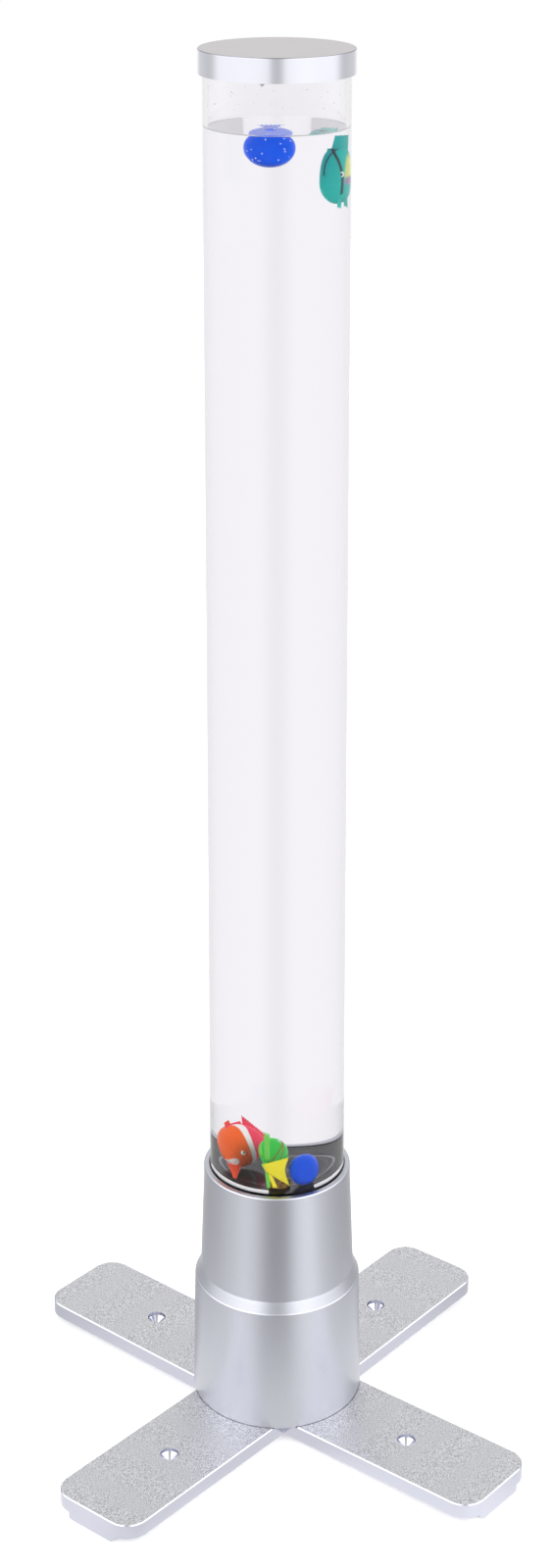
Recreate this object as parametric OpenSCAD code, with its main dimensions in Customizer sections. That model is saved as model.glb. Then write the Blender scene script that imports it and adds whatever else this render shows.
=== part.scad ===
// Water-filled bubble column floor lamp with plastic fish and four splayed flat legs.
// The origin is on the floor under the middle of the tube, +Z up, the front towards -Y.
// Fish that float hang from the water's surface, and fish that sink lie on the tube's base disc.

/* [Tube] */
// Outside diameter of the clear tube
tube_d = 90; // [86:1:110]
// Wall of the clear tube
tube_wall = 3; // [2:0.5:4]
// Length of the clear tube
tube_len = 764.5; // [500:0.5:1200]
// Thickness of the disc that closes the tube's lower end
disc_t = 10; // [6:0.5:14]
// Height of the disc's top face above the housing's rim
disc_rise = 0.5; // [0:0.1:2]
// Air left in the tube between the water and the tube's top edge
air_gap = 44.5; // [30:0.5:80]

/* [Cap] */
// Outside diameter of the cap
cap_d = 95.4; // [94:0.1:100]
// Height of the cap
cap_h = 15; // [13:0.5:24]
// Thickness of the cap's top
cap_top = 2.5; // [1.5:0.1:4]
// Thickness of the cap's skirt
cap_skirt_t = 2.1; // [1:0.1:2.2]
// Rounding of the cap's upper edge
cap_round = 0.8; // [0.5:0.1:2.4]
// Depth of the liner below the tube's top edge
liner_depth = 11.5; // [9:0.5:14]
// Wall of the liner's ring and web
liner_t = 2; // [1.5:0.1:3]
// Length of the drip cone under the liner
drip_len = 9.5; // [6:0.5:16]
// Radius of the drip cone's stem
drip_r = 2.4; // [1.5:0.1:4]
// Sideways place of the drip cone, to the left of the middle
drip_x = 9; // [0:0.5:20]

/* [Housing] */
// Height of the housing from the top of the legs to its rim
housing_h = 169.5; // [150:0.5:220]
// Outside diameter at the rim
rim_d = 98.4; // [97:0.1:120]
// Height of the straight band under the rim
rim_band_h = 8; // [4:0.5:14]
// Outside diameter just above the shoulder
neck_d = 103.4; // [102:0.1:124]
// Outside diameter just below the shoulder
shoulder_d = 111.4; // [110:0.1:130]
// Outside diameter at the foot of the housing
base_d = 114.2; // [112:0.1:134]
// Height of the shoulder's lower edge above the top of the legs
shoulder_z = 86.4; // [70:0.1:110]
// Height of the shoulder's slope
shoulder_h = 6.6; // [3:0.1:12]
// Wall of the housing
housing_wall = 3; // [2:0.1:3.6]
// Depth of the socket that takes the tube
socket_depth = 20; // [17:0.5:30]
// Thickness of the ledge under the tube
ledge_t = 3; // [2:0.5:5]
// Inner diameter of the ledge
ledge_bore_d = 72; // [60:1:74]
// Thickness of the gasket under the tube
gasket_t = 2; // [1:0.5:3]

/* [Legs] */
// Width of a leg
leg_w = 69; // [60:1:76]
// Length of a leg from the middle of the lamp to its tip
leg_len = 188.5; // [160:0.5:240]
// Depth of a leg's sides
leg_t = 9.8; // [9:0.2:16]
// Rise of a leg's top from the middle of the lamp to its tip
leg_rise = 3; // [0:0.5:5]
// Thickness of a leg's top plate
leg_top = 3; // [2:0.5:4]
// Thickness of a leg's side walls and ribs
leg_wall = 2.5; // [1.5:0.5:4]
// Rounding of the two corners at a leg's tip
leg_corner_r = 15.5; // [8:0.5:20]
// Width of the bevel round a leg's top
leg_bevel = 0.6; // [0.3:0.1:1.2]
// Gap at the mitre between neighbouring legs
mitre_gap = 0.3; // [0.2:0.1:0.6]
// Height of the foot rib under each tip
foot_h = 6.2; // [5:0.2:12]
// Length of the foot rib
foot_len = 38; // [30:1:46]
// Thickness of the foot rib
foot_t = 2.2; // [1.5:0.1:4]
// Distance of the foot rib from the end of the leg
foot_inset = 0.8; // [0.3:0.1:3]
// Distance of the fixing holes from the middle of the lamp
fix_r = 111.5; // [95:0.5:130]
// Diameter of the fixing hole's mouth
fix_mouth_d = 12.6; // [10:0.2:14]
// Diameter of the fixing hole's bore
fix_bore_d = 6; // [4:0.2:7]
// Depth of the straight part of the fixing hole's mouth
fix_mouth_h = 2.4; // [1.8:0.2:3]
// Depth of the cone between the mouth and the bore
fix_cone_h = 4.4; // [3:0.2:4.8]

/* [Fish] */
// Length of a fish's body
fish_len = 38; // [30:1:42]
// Height of a fish's body from back to belly
fish_deep = 22; // [16:1:24]
// Thickness of a fish's body
fish_thick = 15; // [10:1:17]
// Thickness of a fish's fins
fin_t = 1.6; // [1:0.1:2.4]

/* [Inside] */
// Thickness of the base plate
base_plate_t = 3; // [2:0.5:4]
// Thickness of the circuit boards
board_t = 1.6; // [1:0.1:2]
// Length of the air pump's body
pump_len = 56; // [44:1:60]
// Width of the air pump's body
pump_w = 42; // [34:1:46]
// Height of the air pump's body
pump_h = 34; // [26:1:46]
// Height of the pump's rubber feet
pump_foot_h = 5; // [3:0.5:8]
// Outside diameter of the air hose
hose_d = 6; // [5:0.5:8]
// Bore of the air hose
hose_bore_d = 4; // [3:0.5:4.5]
// Diameter of the air stone
stone_d = 13; // [10:0.5:16]
// Height of the air stone
stone_h = 4; // [4:0.5:8]
// Number of light-emitting diodes on the ring
led_count = 6; // [4:1:10]
// Distance of the diodes from the middle
led_ring_r = 22; // [16:1:26]

/* [Controls] */
// Diameter of the push button
button_d = 12; // [9:0.5:14]
// How far the button stands out of the housing
button_proud = 1.8; // [1.4:0.1:3]
// Travel of the button
button_travel = 1.2; // [0.6:0.1:1.2]
// Height of the button above the top of the legs
button_z = 52; // [44:1:66]
// Height of the power inlet above the top of the legs
inlet_z = 26; // [18:1:30]
// Outside diameter of the power inlet's barrel
inlet_d = 9; // [8:0.1:11]
// Bore of the power inlet
inlet_bore_d = 5.6; // [5.5:0.1:6.2]
// Length of the power inlet's bore
inlet_bore_h = 9; // [7:0.5:10]

/* [Clearances] */
// Gap all round the tube in its socket
socket_gap = 0.3; // [0.2:0.05:0.6]
// Gap all round the tube inside the cap
cap_gap = 0.5; // [0.3:0.05:0.8]
// Gap between the liner's seal and the tube's bore
seal_gap = 0.3; // [0.2:0.05:0.5]
// Gap between glued or snapped parts
fit_gap = 0.05; // [0.02:0.01:0.1]
// Gap between parts that move and what is round them
run_gap = 0.3; // [0.2:0.05:0.5]
// Shadow gap between the housing's foot and the legs
shadow_gap = 0.4; // [0.2:0.1:0.8]

/* [Hidden] */
$fn = 96;
// Overshoot of a cutting shape past the face that it cuts
cut = 1;
// Overlap of two shapes that join into one solid
merge = 0.5;
// Small bevel where walls meet under a leg's top plate
inner_bevel = 0.2;

// Levels above the floor
leg_top_z = foot_h + leg_t - leg_rise;
leg_low_z = leg_top_z - leg_t;
rim_z = leg_top_z + housing_h;
tube_z = rim_z - socket_depth;
tube_top_z = tube_z + tube_len;
disc_top_z = rim_z + disc_rise;
disc_z = disc_top_z - disc_t;
ledge_z = tube_z - gasket_t;
water_z = tube_top_z - air_gap;
cap_top_z = tube_top_z + cap_top;
plate_top_z = leg_top_z + base_plate_t;
board_z = ledge_z;

// Radii of the tower
tube_r = tube_d / 2;
bore_r = tube_r - tube_wall;
socket_r = tube_r + socket_gap;
cap_bore_r = cap_d / 2 - cap_skirt_t;
liner_r = bore_r - 2 * seal_gap;
plate_margin = 2;
plate_r = base_d / 2 - housing_wall - plate_margin;

// Screws that hold the base plate to the housing and the legs to the base plate
boss_r = 4.6;
boss_h = 18;
boss_ring_r = base_d / 2 - housing_wall - boss_r + merge;
boss_angles = [20, 160, 200, 340];
screw_r = 1.5;
screw_head_r = 3;
screw_len = 12;
leg_screw_r = 2;
leg_screw_head_r = 3.6;
leg_screw_head_h = 2.4;
screw_gap = 0.2;
head_gap = 0.4;
leg_screw_inset = 18.1;
leg_screw_x = plate_r - leg_screw_inset;
leg_screw_y = 14;
leg_boss_r = 6;

// Air line
inlet_x = -1.5;
inlet_y = -0.62 * bore_r;
nipple_r = hose_bore_d / 2 - fit_gap;
nipple_len = 9;
collar_r = 4.5;
collar_h = 3;
valve_r = 7;
valve_h = 22;
valve_stub = 6;
valve_cone_h = 2;
pump_rise = 34;
pump_y = inlet_y + pump_w / 2 - collar_r - 1;
pump_z = plate_top_z + pump_foot_h;
valve_z = pump_z + pump_h + pump_rise;

// Controls at the back
board_inset = 14;
back_wall_y = plate_r - board_inset;
button_hole_r = button_d / 2 + run_gap;
hole_start_y = back_wall_y + 4;
switch_w = 12;
switch_h = 6;
stem_r = 1.8;
stem_in_switch = 1.2;
inlet_body_w = 13;
inlet_body_d = 6;
inlet_recess = 0.6;
stem_gap = 0.08;
button_bevel = 0.8;
board_w = 54;
board_h = 72;
guide_t = 2;
plug_x = 14;
plug_w = 8;
plug_d = 5;
plug_h = 6;
plug_drop = 12;
plug_z = plate_top_z + board_h - plug_drop;
plug_y = back_wall_y - board_t - plug_d / 2;
wire_r = 0.7;
wire_pitch = 2;
bend_r = 4;

// Reach of a fish's fins and tail from the middle of its body, as shares of its length
fin_reach = 0.34;
tail_reach = 0.72;

// Fish: scale, place as shares of the bore, height as a share of its length above the water's surface or
// the disc, and turn
FLOAT_BLUE = [1.06, [-0.118, -0.290, -0.337], [90, 8, 264.5]];
FLOAT_TEAL = [0.94, [0.665, -0.084, -0.742], [0, 90, -19.5]];
SUNK_ORANGE = [0.98, [-0.389, 0.206, 0.380], [27, 16.5, 234.5]];
SUNK_GREEN = [0.80, [-0.092, -0.344, 0.480], [-41.5, -15.5, 74.5]];
SUNK_BLUE = [0.78, [0.310, -0.590, 0.270], [20, 1, 256]];

module ring(outer_r, inner_r, h) {
    difference() {
        cylinder(r = outer_r, h = h);
        translate([0, 0, -cut]) cylinder(r = inner_r, h = h + 2 * cut);
    }
}

module tube_along_y(r, y0, y1) {
    translate([0, y0, 0]) rotate([-90, 0, 0]) cylinder(r = r, h = y1 - y0);
}

function arc(cx, cy, r, a0, a1, steps = 5) =
    [for (i = [0 : steps]) let (a = a0 + (a1 - a0) * i / steps) [cx + r * cos(a), cy + r * sin(a)]];

// Legs

// Block with bevelled upper edges and round corners at the tip, as wide as w, from the middle to x = len
module tip_block(len, w, r, z0, z1, bevel) {
    side = [[-w / 2, z0], [w / 2, z0], [w / 2, z1 - bevel], [w / 2 - bevel, z1],
            [bevel - w / 2, z1], [-w / 2, z1 - bevel]];
    end = [[0, z0], [len, z0], [len, z1 - bevel], [len - bevel, z1], [0, z1]];
    corner = [[0, z0], [r, z0], [r, z1 - bevel], [r - bevel, z1], [0, z1]];
    rotate([90, 0, 90]) linear_extrude(len - r) polygon(side);
    translate([0, w / 2 - r, 0]) rotate([90, 0, 0]) linear_extrude(w - 2 * r) polygon(end);
    for (side_y = [-1, 1])
        translate([len - r, side_y * (w / 2 - r), 0]) rotate_extrude() polygon(corner);
}

// Leans a leg so that its top rises from the middle of the lamp to its tip
module lean() {
    translate([0, 0, leg_top_z]) rotate([0, -asin(leg_rise / leg_len), 0]) translate([0, 0, -leg_top_z])
        children();
}

// Wedge that a leg fills between its two mitres
module mitre_wedge(inset) {
    reach = leg_len + cut;
    translate([inset * sqrt(2), 0, 0])
        linear_extrude(4 * (leg_t + foot_h), center = true)
            polygon([[0, 0], [reach, reach], [reach, -reach]]);
}

module fixing_hole() {
    face_z = leg_top_z + leg_rise * fix_r / leg_len;
    translate([fix_r, 0, face_z - fix_mouth_h]) {
        cylinder(d = fix_mouth_d, h = fix_mouth_h + cut);
        translate([0, 0, -fix_cone_h]) cylinder(d1 = fix_bore_d, d2 = fix_mouth_d, h = fix_cone_h);
        translate([0, 0, -leg_t]) cylinder(d = fix_bore_d, h = leg_t);
    }
}

// Ribs and bosses inside the hollow underside of a leg
module leg_ribs() {
    rib_top = leg_top_z - leg_top + merge;
    rib_len = leg_len - leg_wall;
    for (y = [-leg_w / 5, leg_w / 5])
        translate([0, y - leg_wall / 2, leg_low_z]) cube([rib_len, leg_wall, rib_top - leg_low_z]);
    for (x = [leg_w, (leg_w + fix_r) / 2, (fix_r + leg_len) / 2])
        translate([x - leg_wall / 2, leg_wall - leg_w / 2, leg_low_z])
            cube([leg_wall, leg_w - 2 * leg_wall, rib_top - leg_low_z]);
    translate([fix_r, 0, leg_low_z]) cylinder(d = fix_mouth_d + 2 * leg_wall, h = rib_top - leg_low_z);
    for (y = [-leg_screw_y, leg_screw_y])
        translate([leg_screw_x, y, leg_low_z]) cylinder(r = leg_boss_r, h = rib_top - leg_low_z);
}

module foot_rib() {
    x0 = leg_len - foot_inset - foot_t;
    flat = foot_len - 2 * foot_t;
    translate([x0, -foot_len / 2, foot_t])
        cube([foot_t, foot_len, foot_h + leg_t - leg_top + merge - foot_t]);
    translate([x0, -flat / 2, 0]) cube([foot_t, flat, 2 * foot_t]);
    for (side_y = [-1, 1])
        translate([x0, side_y * flat / 2, foot_t]) rotate([0, 90, 0]) cylinder(r = foot_t, h = foot_t);
}

module leg() {
    color("silver") {
        difference() {
            intersection() {
                union() {
                    difference() {
                        lean() tip_block(leg_len, leg_w, leg_corner_r, leg_low_z, leg_top_z, leg_bevel);
                        intersection() {
                            lean()
                                tip_block(leg_len - leg_wall, leg_w - 2 * leg_wall, leg_corner_r - leg_wall,
                                          leg_low_z - cut, leg_top_z - leg_top, inner_bevel);
                            mitre_wedge(mitre_gap / 2 + leg_wall);
                        }
                    }
                    lean() intersection() {
                        leg_ribs();
                        tip_block(leg_len - leg_wall / 2, leg_w - leg_wall, leg_corner_r - leg_wall / 2,
                                  leg_low_z, leg_top_z - leg_top / 2, inner_bevel);
                    }
                }
                mitre_wedge(mitre_gap / 2);
            }
            fixing_hole();
            translate([0, 0, leg_top_z]) cylinder(r = base_d / 2 + run_gap, h = leg_rise + cut);
            for (y = [-leg_screw_y, leg_screw_y])
                translate([leg_screw_x, y, 0]) {
                    cylinder(r = leg_screw_r + screw_gap, h = leg_top_z + cut);
                    cylinder(r = leg_screw_head_r + head_gap, h = leg_top_z - leg_top - leg_screw_head_h);
                }
        }
        foot_rib();
    }
}

module leg_front_left() { rotate(225) leg(); }
module leg_front_right() { rotate(315) leg(); }
module leg_back_left() { rotate(135) leg(); }
module leg_back_right() { rotate(45) leg(); }

// Pan-head screws up through each leg into the base plate
module leg_screws() {
    seat_z = leg_top_z - leg_top - leg_screw_head_h;
    color("dimgray")
        for (a = [45 : 90 : 315], y = [-leg_screw_y, leg_screw_y])
            rotate(a) translate([leg_screw_x, y, seat_z - leg_screw_head_h]) {
                cylinder(r = leg_screw_head_r, h = leg_screw_head_h);
                translate([0, 0, leg_screw_head_h])
                    cylinder(r = leg_screw_r, h = plate_top_z - seat_z);
            }
}

// Base plate

module base_plate() {
    color("gray") difference() {
        translate([0, 0, leg_top_z]) cylinder(r = plate_r, h = base_plate_t);
        for (a = [45 : 90 : 315], y = [-leg_screw_y, leg_screw_y])
            rotate(a) translate([leg_screw_x, y, leg_top_z - cut])
                cylinder(r = leg_screw_r + fit_gap, h = base_plate_t + 2 * cut);
        for (a = boss_angles)
            rotate(a) translate([boss_ring_r, 0, leg_top_z]) {
                translate([0, 0, -cut]) cylinder(r = screw_r + fit_gap, h = base_plate_t + 2 * cut);
                cylinder(r1 = screw_head_r + fit_gap, r2 = screw_r + fit_gap, h = screw_head_r - screw_r);
            }
    }
}

// Countersunk screws up through the base plate into the housing's bosses
module base_plate_screws() {
    color("dimgray")
        for (a = boss_angles)
            rotate(a) translate([boss_ring_r, 0, leg_top_z]) {
                cylinder(r1 = screw_head_r, r2 = screw_r, h = screw_head_r - screw_r);
                cylinder(r = screw_r, h = screw_len);
            }
}

// Housing

module housing_outside() {
    foot_z = leg_top_z + shadow_gap;
    low_z = leg_top_z + shoulder_z;
    high_z = low_z + shoulder_h;
    lip = 1.2;
    edge = 0.5;
    bend = 1.5;
    rotate_extrude() polygon(concat(
        [[0, foot_z], [base_d / 2 - edge, foot_z], [base_d / 2, foot_z + edge]],
        arc(shoulder_d / 2 - bend, low_z - bend / 2, bend, 0, 55),
        [[neck_d / 2 + bend / 2, high_z - bend / 2], [neck_d / 2, high_z + bend / 2]],
        [[rim_d / 2, rim_z - rim_band_h]],
        arc(rim_d / 2 - lip, rim_z - lip, lip, 0, 90),
        [[0, rim_z]]));
}

// Inside of the housing's tapered wall, up to the ledge, and deeper into the wall by grow
module housing_cavity(grow = 0) {
    low_z = leg_top_z + shoulder_z;
    high_z = low_z + shoulder_h;
    roof_z = ledge_z - ledge_t;
    inset = housing_wall - grow;
    rotate_extrude() polygon([
        [0, leg_top_z - cut], [base_d / 2 - inset, leg_top_z - cut],
        [shoulder_d / 2 - inset, low_z - housing_wall],
        [neck_d / 2 - inset, high_z - housing_wall],
        [socket_r - merge, roof_z], [0, roof_z]]);
}

module housing() {
    color("lightsteelblue") difference() {
        union() {
            difference() {
                housing_outside();
                housing_cavity();
                translate([0, 0, ledge_z]) cylinder(r = socket_r, h = socket_depth + gasket_t + cut);
                translate([0, 0, ledge_z - ledge_t - cut])
                    cylinder(d = ledge_bore_d, h = ledge_t + 2 * cut);
            }
            for (a = boss_angles)
                rotate(a) translate([boss_ring_r, 0, plate_top_z]) cylinder(r = boss_r, h = boss_h);
            board_guides();
        }
        for (a = boss_angles)
            rotate(a) translate([boss_ring_r, 0, plate_top_z - cut])
                cylinder(r = screw_r + fit_gap, h = screw_len);
        translate([0, 0, leg_top_z + button_z]) tube_along_y(button_hole_r, hole_start_y, base_d);
        translate([0, 0, leg_top_z + inlet_z]) tube_along_y(inlet_d / 2 + run_gap, hole_start_y, base_d);
    }
}

// Two grooved uprights that hold the control board by its edges
module board_guides() {
    guide_x = board_w / 2 - guide_t / 2;
    intersection() {
        for (side_x = [-1, 1])
            difference() {
                translate([side_x * guide_x - 2 * guide_t, back_wall_y - 3 * guide_t, plate_top_z])
                    cube([4 * guide_t, base_d / 2, board_h]);
                translate([-board_w / 2 - fit_gap, back_wall_y - board_t - fit_gap, plate_top_z - cut])
                    cube([board_w + 2 * fit_gap, board_t + 2 * fit_gap, board_h + 2 * cut]);
            }
        housing_cavity(merge);
    }
}

module tube_gasket() {
    color("dimgray") translate([0, 0, ledge_z]) ring(tube_r, bore_r, gasket_t);
}

// Tube, its base disc and the water

module clear_tube() {
    color("lightcyan", 0.3) translate([0, 0, tube_z]) ring(tube_r, bore_r, tube_len);
}

module tube_base_disc() {
    color("slategray") difference() {
        translate([0, 0, disc_z]) cylinder(r = bore_r - fit_gap, h = disc_t);
        translate([inlet_x, inlet_y, disc_z - cut]) cylinder(r = nipple_r + fit_gap, h = disc_t + 2 * cut);
    }
}

// Flanged nipple through the base disc, with the hose below it and the air stone on top
module air_inlet() {
    length = nipple_len + disc_t + stone_h / 2;
    color("whitesmoke") translate([inlet_x, inlet_y, disc_z]) difference() {
        union() {
            translate([0, 0, -nipple_len]) cylinder(r = nipple_r, h = length);
            translate([0, 0, -collar_h]) cylinder(r = collar_r, h = collar_h);
        }
        translate([0, 0, -nipple_len - cut]) cylinder(r = nipple_r / 2, h = length + 2 * cut);
    }
}

module air_stone() {
    edge = 1;
    color("darkgoldenrod") translate([inlet_x, inlet_y, disc_top_z]) difference() {
        union() {
            cylinder(d = stone_d, h = stone_h - edge);
            translate([0, 0, stone_h - edge]) cylinder(d1 = stone_d, d2 = stone_d - 2 * edge, h = edge);
        }
        translate([0, 0, -cut]) cylinder(r = nipple_r + fit_gap, h = stone_h / 2 + fit_gap + cut);
    }
}

// Hollow in the water round one fish, from its tail to its nose
module fish_hollow(fish, base_z) {
    length = fish[0] * fish_len;
    at_fish(fish, base_z)
        translate([-tail_reach * length - run_gap, 0, 0])
            rotate([0, 90, 0])
                cylinder(r = fin_reach * length + run_gap, h = (tail_reach + 0.5) * length + 2 * run_gap);
}

module water() {
    color("azure", 0.2) difference() {
        translate([0, 0, disc_top_z]) cylinder(r = bore_r - fit_gap, h = water_z - disc_top_z);
        translate([inlet_x, inlet_y, disc_top_z - cut])
            cylinder(d = stone_d + 2 * fit_gap, h = stone_h + fit_gap + cut);
        fish_hollow(FLOAT_BLUE, water_z);
        fish_hollow(FLOAT_TEAL, water_z);
        fish_hollow(SUNK_ORANGE, disc_top_z);
        fish_hollow(SUNK_GREEN, disc_top_z);
        fish_hollow(SUNK_BLUE, disc_top_z);
    }
}

// Cap

module cap_shell() {
    color("whitesmoke") translate([0, 0, cap_top_z - cap_h]) difference() {
        rotate_extrude() polygon(concat(
            [[0, 0], [cap_d / 2, 0]],
            arc(cap_d / 2 - cap_round, cap_h - cap_round, cap_round, 0, 90),
            [[0, cap_h]]));
        translate([0, 0, -cut]) cylinder(r = cap_bore_r, h = cap_h - cap_top + cut);
    }
}

// Cup that plugs the tube, with a groove for its seal and a drip cone under it
module cap_liner() {
    color("gainsboro") translate([0, 0, tube_top_z]) {
        difference() {
            translate([0, 0, -liner_depth]) cylinder(r = liner_r, h = liner_depth);
            translate([0, 0, liner_t - liner_depth]) cylinder(r = liner_r - 2 * liner_t, h = liner_depth);
            translate([0, 0, -(liner_depth + liner_t) / 2])
                ring(liner_r + cut, liner_r - liner_t / 2, liner_t);
        }
        translate([-drip_x, 0, -liner_depth - drip_len + drip_r]) {
            cylinder(r = drip_r, h = drip_len);
            translate([0, 0, -drip_r]) cylinder(r1 = 0, r2 = drip_r, h = drip_r);
        }
    }
}

module cap_seal() {
    color("dimgray") translate([0, 0, tube_top_z - (liner_depth + liner_t) / 2 + fit_gap])
        ring(bore_r - seal_gap, liner_r - liner_t / 2 + fit_gap, liner_t - 2 * fit_gap);
}

// Light

module led_board() {
    margin = 1;
    color("white") difference() {
        translate([0, 0, board_z]) cylinder(r = bore_r - margin, h = board_t);
        translate([inlet_x, inlet_y, board_z - cut]) cylinder(r = collar_r + margin, h = board_t + 2 * cut);
    }
}

module leds() {
    led_r = 2.5;
    led_h = 1;
    color("ghostwhite")
        for (i = [0 : led_count - 1])
            rotate(i * 360 / led_count) translate([led_ring_r, 0, board_z + board_t]) {
                translate([-led_r, -led_r, 0]) cube([2 * led_r, 2 * led_r, led_h]);
                translate([0, 0, led_h]) cylinder(r1 = led_r, r2 = led_r * 0.6, h = led_h);
            }
}

// Air pump, its feet, the valve and the hose

module pump_feet() {
    inset = 8;
    color("dimgray")
        for (x = [-1, 1], y = [-1, 1])
            translate([x * (pump_len / 2 - inset), y * (pump_w / 2 - inset) + pump_y, plate_top_z])
                cylinder(r1 = 4.5, r2 = 3.5, h = pump_foot_h);
}

module air_pump() {
    edge = 6;
    fin_h = 1.2;
    nipple_floor = 1;
    color("darkgray") translate([0, pump_y, pump_z]) {
        for (x = [-1, 1], y = [-1, 1])
            translate([x * (pump_len / 2 - edge), y * (pump_w / 2 - edge), 0])
                cylinder(r = edge, h = pump_h);
        translate([-pump_len / 2, edge - pump_w / 2, 0]) cube([pump_len, pump_w - 2 * edge, pump_h]);
        translate([edge - pump_len / 2, -pump_w / 2, 0]) cube([pump_len - 2 * edge, pump_w, pump_h]);
        for (i = [-2 : 2])
            translate([i * pump_len / 8 - fin_h, 0, pump_h - merge])
                cube([2 * fin_h, pump_w / 3, fin_h + merge]);
    }
    color("darkgray") translate([inlet_x, inlet_y, pump_z + pump_h]) difference() {
        union() {
            cylinder(r = collar_r, h = collar_h);
            cylinder(r = nipple_r, h = collar_h + valve_stub);
        }
        translate([0, 0, nipple_floor]) cylinder(r = nipple_r / 2, h = collar_h + valve_stub);
    }
}

module check_valve() {
    end_h = valve_cone_h + valve_stub;
    color("white") translate([inlet_x, inlet_y, valve_z]) difference() {
        union() {
            cylinder(r = valve_r, h = valve_h);
            translate([0, 0, -valve_cone_h]) cylinder(r1 = collar_r, r2 = valve_r, h = valve_cone_h);
            translate([0, 0, valve_h]) cylinder(r1 = valve_r, r2 = collar_r, h = valve_cone_h);
            translate([0, 0, -end_h]) cylinder(r = nipple_r, h = valve_h + 2 * end_h);
        }
        translate([0, 0, -end_h - cut]) cylinder(r = nipple_r / 2, h = valve_h + 2 * end_h + 2 * cut);
    }
}

module air_hose() {
    low_z = pump_z + pump_h + collar_h;
    high_z = valve_z + valve_h + valve_cone_h;
    color("white") translate([inlet_x, inlet_y, 0]) {
        translate([0, 0, low_z]) ring(hose_d / 2, hose_bore_d / 2, valve_z - valve_cone_h - low_z);
        translate([0, 0, high_z]) ring(hose_d / 2, hose_bore_d / 2, disc_z - collar_h - high_z);
    }
}

// Control board, power inlet and push button

module control_board() {
    face_y = back_wall_y - board_t;
    chip_w = 8;
    chip_t = 1.5;
    can_r = 4;
    can_h = 10;
    can_y = face_y - can_r - 1;
    can_z = plate_top_z + board_h / 3;
    color("seagreen") {
        translate([-board_w / 2, face_y, plate_top_z]) cube([board_w, board_t, board_h]);
        for (side_x = [-1, 1])
            translate([side_x * plug_x - plug_w / 2, face_y - plug_d, plug_z])
                cube([plug_w, plug_d, plug_h]);
        translate([-chip_w / 2, face_y - chip_t, plate_top_z + board_h / 2]) cube([chip_w, chip_t, chip_w]);
        translate([-plug_x, can_y, can_z]) cylinder(r = can_r, h = can_h);
        translate([-plug_x - can_r, can_y, can_z]) cube([2 * can_r, face_y - can_y, can_h]);
    }
}

// Quarter bend of wire in the plane x = 0, from angle a to a + 90 about the point y, z
module wire_bend(y, z, a) {
    translate([0, y, z]) rotate([90, 0, 90]) rotate(a)
        rotate_extrude(angle = 90) translate([bend_r, 0]) circle(r = wire_r);
}

// Wire from the control board's left plug up to the diodes' board
module led_wire() {
    low_z = plug_z + plug_h;
    run_z = low_z + 2 * bend_r;
    led_y = plug_y - 2 * bend_r - wire_pitch;
    translate([0, plug_y, low_z]) cylinder(r = wire_r, h = bend_r);
    wire_bend(plug_y - bend_r, run_z - bend_r, 0);
    translate([0, 0, run_z]) tube_along_y(wire_r, led_y + bend_r, plug_y - bend_r);
    wire_bend(led_y + bend_r, run_z + bend_r, 180);
    translate([0, led_y, run_z + bend_r]) cylinder(r = wire_r, h = board_z - run_z - bend_r);
}

// Wire from the control board's right plug down to the back of the air pump
module pump_wire() {
    run_z = pump_z + pump_h / 2;
    translate([0, plug_y, run_z + bend_r]) cylinder(r = wire_r, h = plug_z - run_z - bend_r);
    wire_bend(plug_y - bend_r, run_z + bend_r, 270);
    translate([0, 0, run_z]) tube_along_y(wire_r, pump_y + pump_w / 2, plug_y - bend_r);
}

// Two pairs of wires, from the control board to the diodes and to the air pump
module wiring() {
    color("firebrick")
        for (side = [-wire_pitch / 2, wire_pitch / 2]) {
            translate([side - plug_x, 0, 0]) led_wire();
            translate([side + plug_x, 0, 0]) pump_wire();
        }
}

module power_inlet() {
    barrel_y = base_d / 2 - inlet_recess;
    pin_r = 1;
    color("dimgray") translate([0, 0, leg_top_z + inlet_z]) difference() {
        union() {
            translate([-inlet_body_w / 2, back_wall_y, -inlet_body_w / 2])
                cube([inlet_body_w, inlet_body_d, inlet_body_w]);
            tube_along_y(inlet_d / 2, back_wall_y, barrel_y);
        }
        tube_along_y(inlet_bore_d / 2, barrel_y - inlet_bore_h, barrel_y + cut);
    }
    color("gold") translate([0, 0, leg_top_z + inlet_z]) 
        tube_along_y(pin_r, barrel_y - inlet_bore_h - cut, barrel_y - pin_r);
}

module button_switch() {
    well_y = switch_h - stem_in_switch - button_travel - run_gap;
    color("dimgray") translate([0, back_wall_y, leg_top_z + button_z]) difference() {
        translate([-switch_w / 2, 0, -switch_w / 2]) cube([switch_w, switch_h, switch_w]);
        tube_along_y(stem_r + stem_gap, well_y, switch_h + cut);
    }
}

module power_button() {
    face_y = base_d / 2 + button_proud;
    head_y = back_wall_y + switch_h + button_travel + 2 * run_gap;
    color("gainsboro") translate([0, 0, leg_top_z + button_z]) {
        tube_along_y(button_d / 2, head_y, face_y - button_bevel);
        translate([0, face_y - button_bevel, 0]) rotate([-90, 0, 0])
            cylinder(r1 = button_d / 2, r2 = button_d / 2 - button_bevel, h = button_bevel);
        tube_along_y(stem_r, back_wall_y + switch_h - stem_in_switch, head_y);
    }
}

// Fish

module at_fish(fish, base_z) {
    translate([fish[1][0] * bore_r, fish[1][1] * bore_r, base_z + fish[1][2] * fish_len])
        rotate(fish[2]) children();
}

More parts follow.
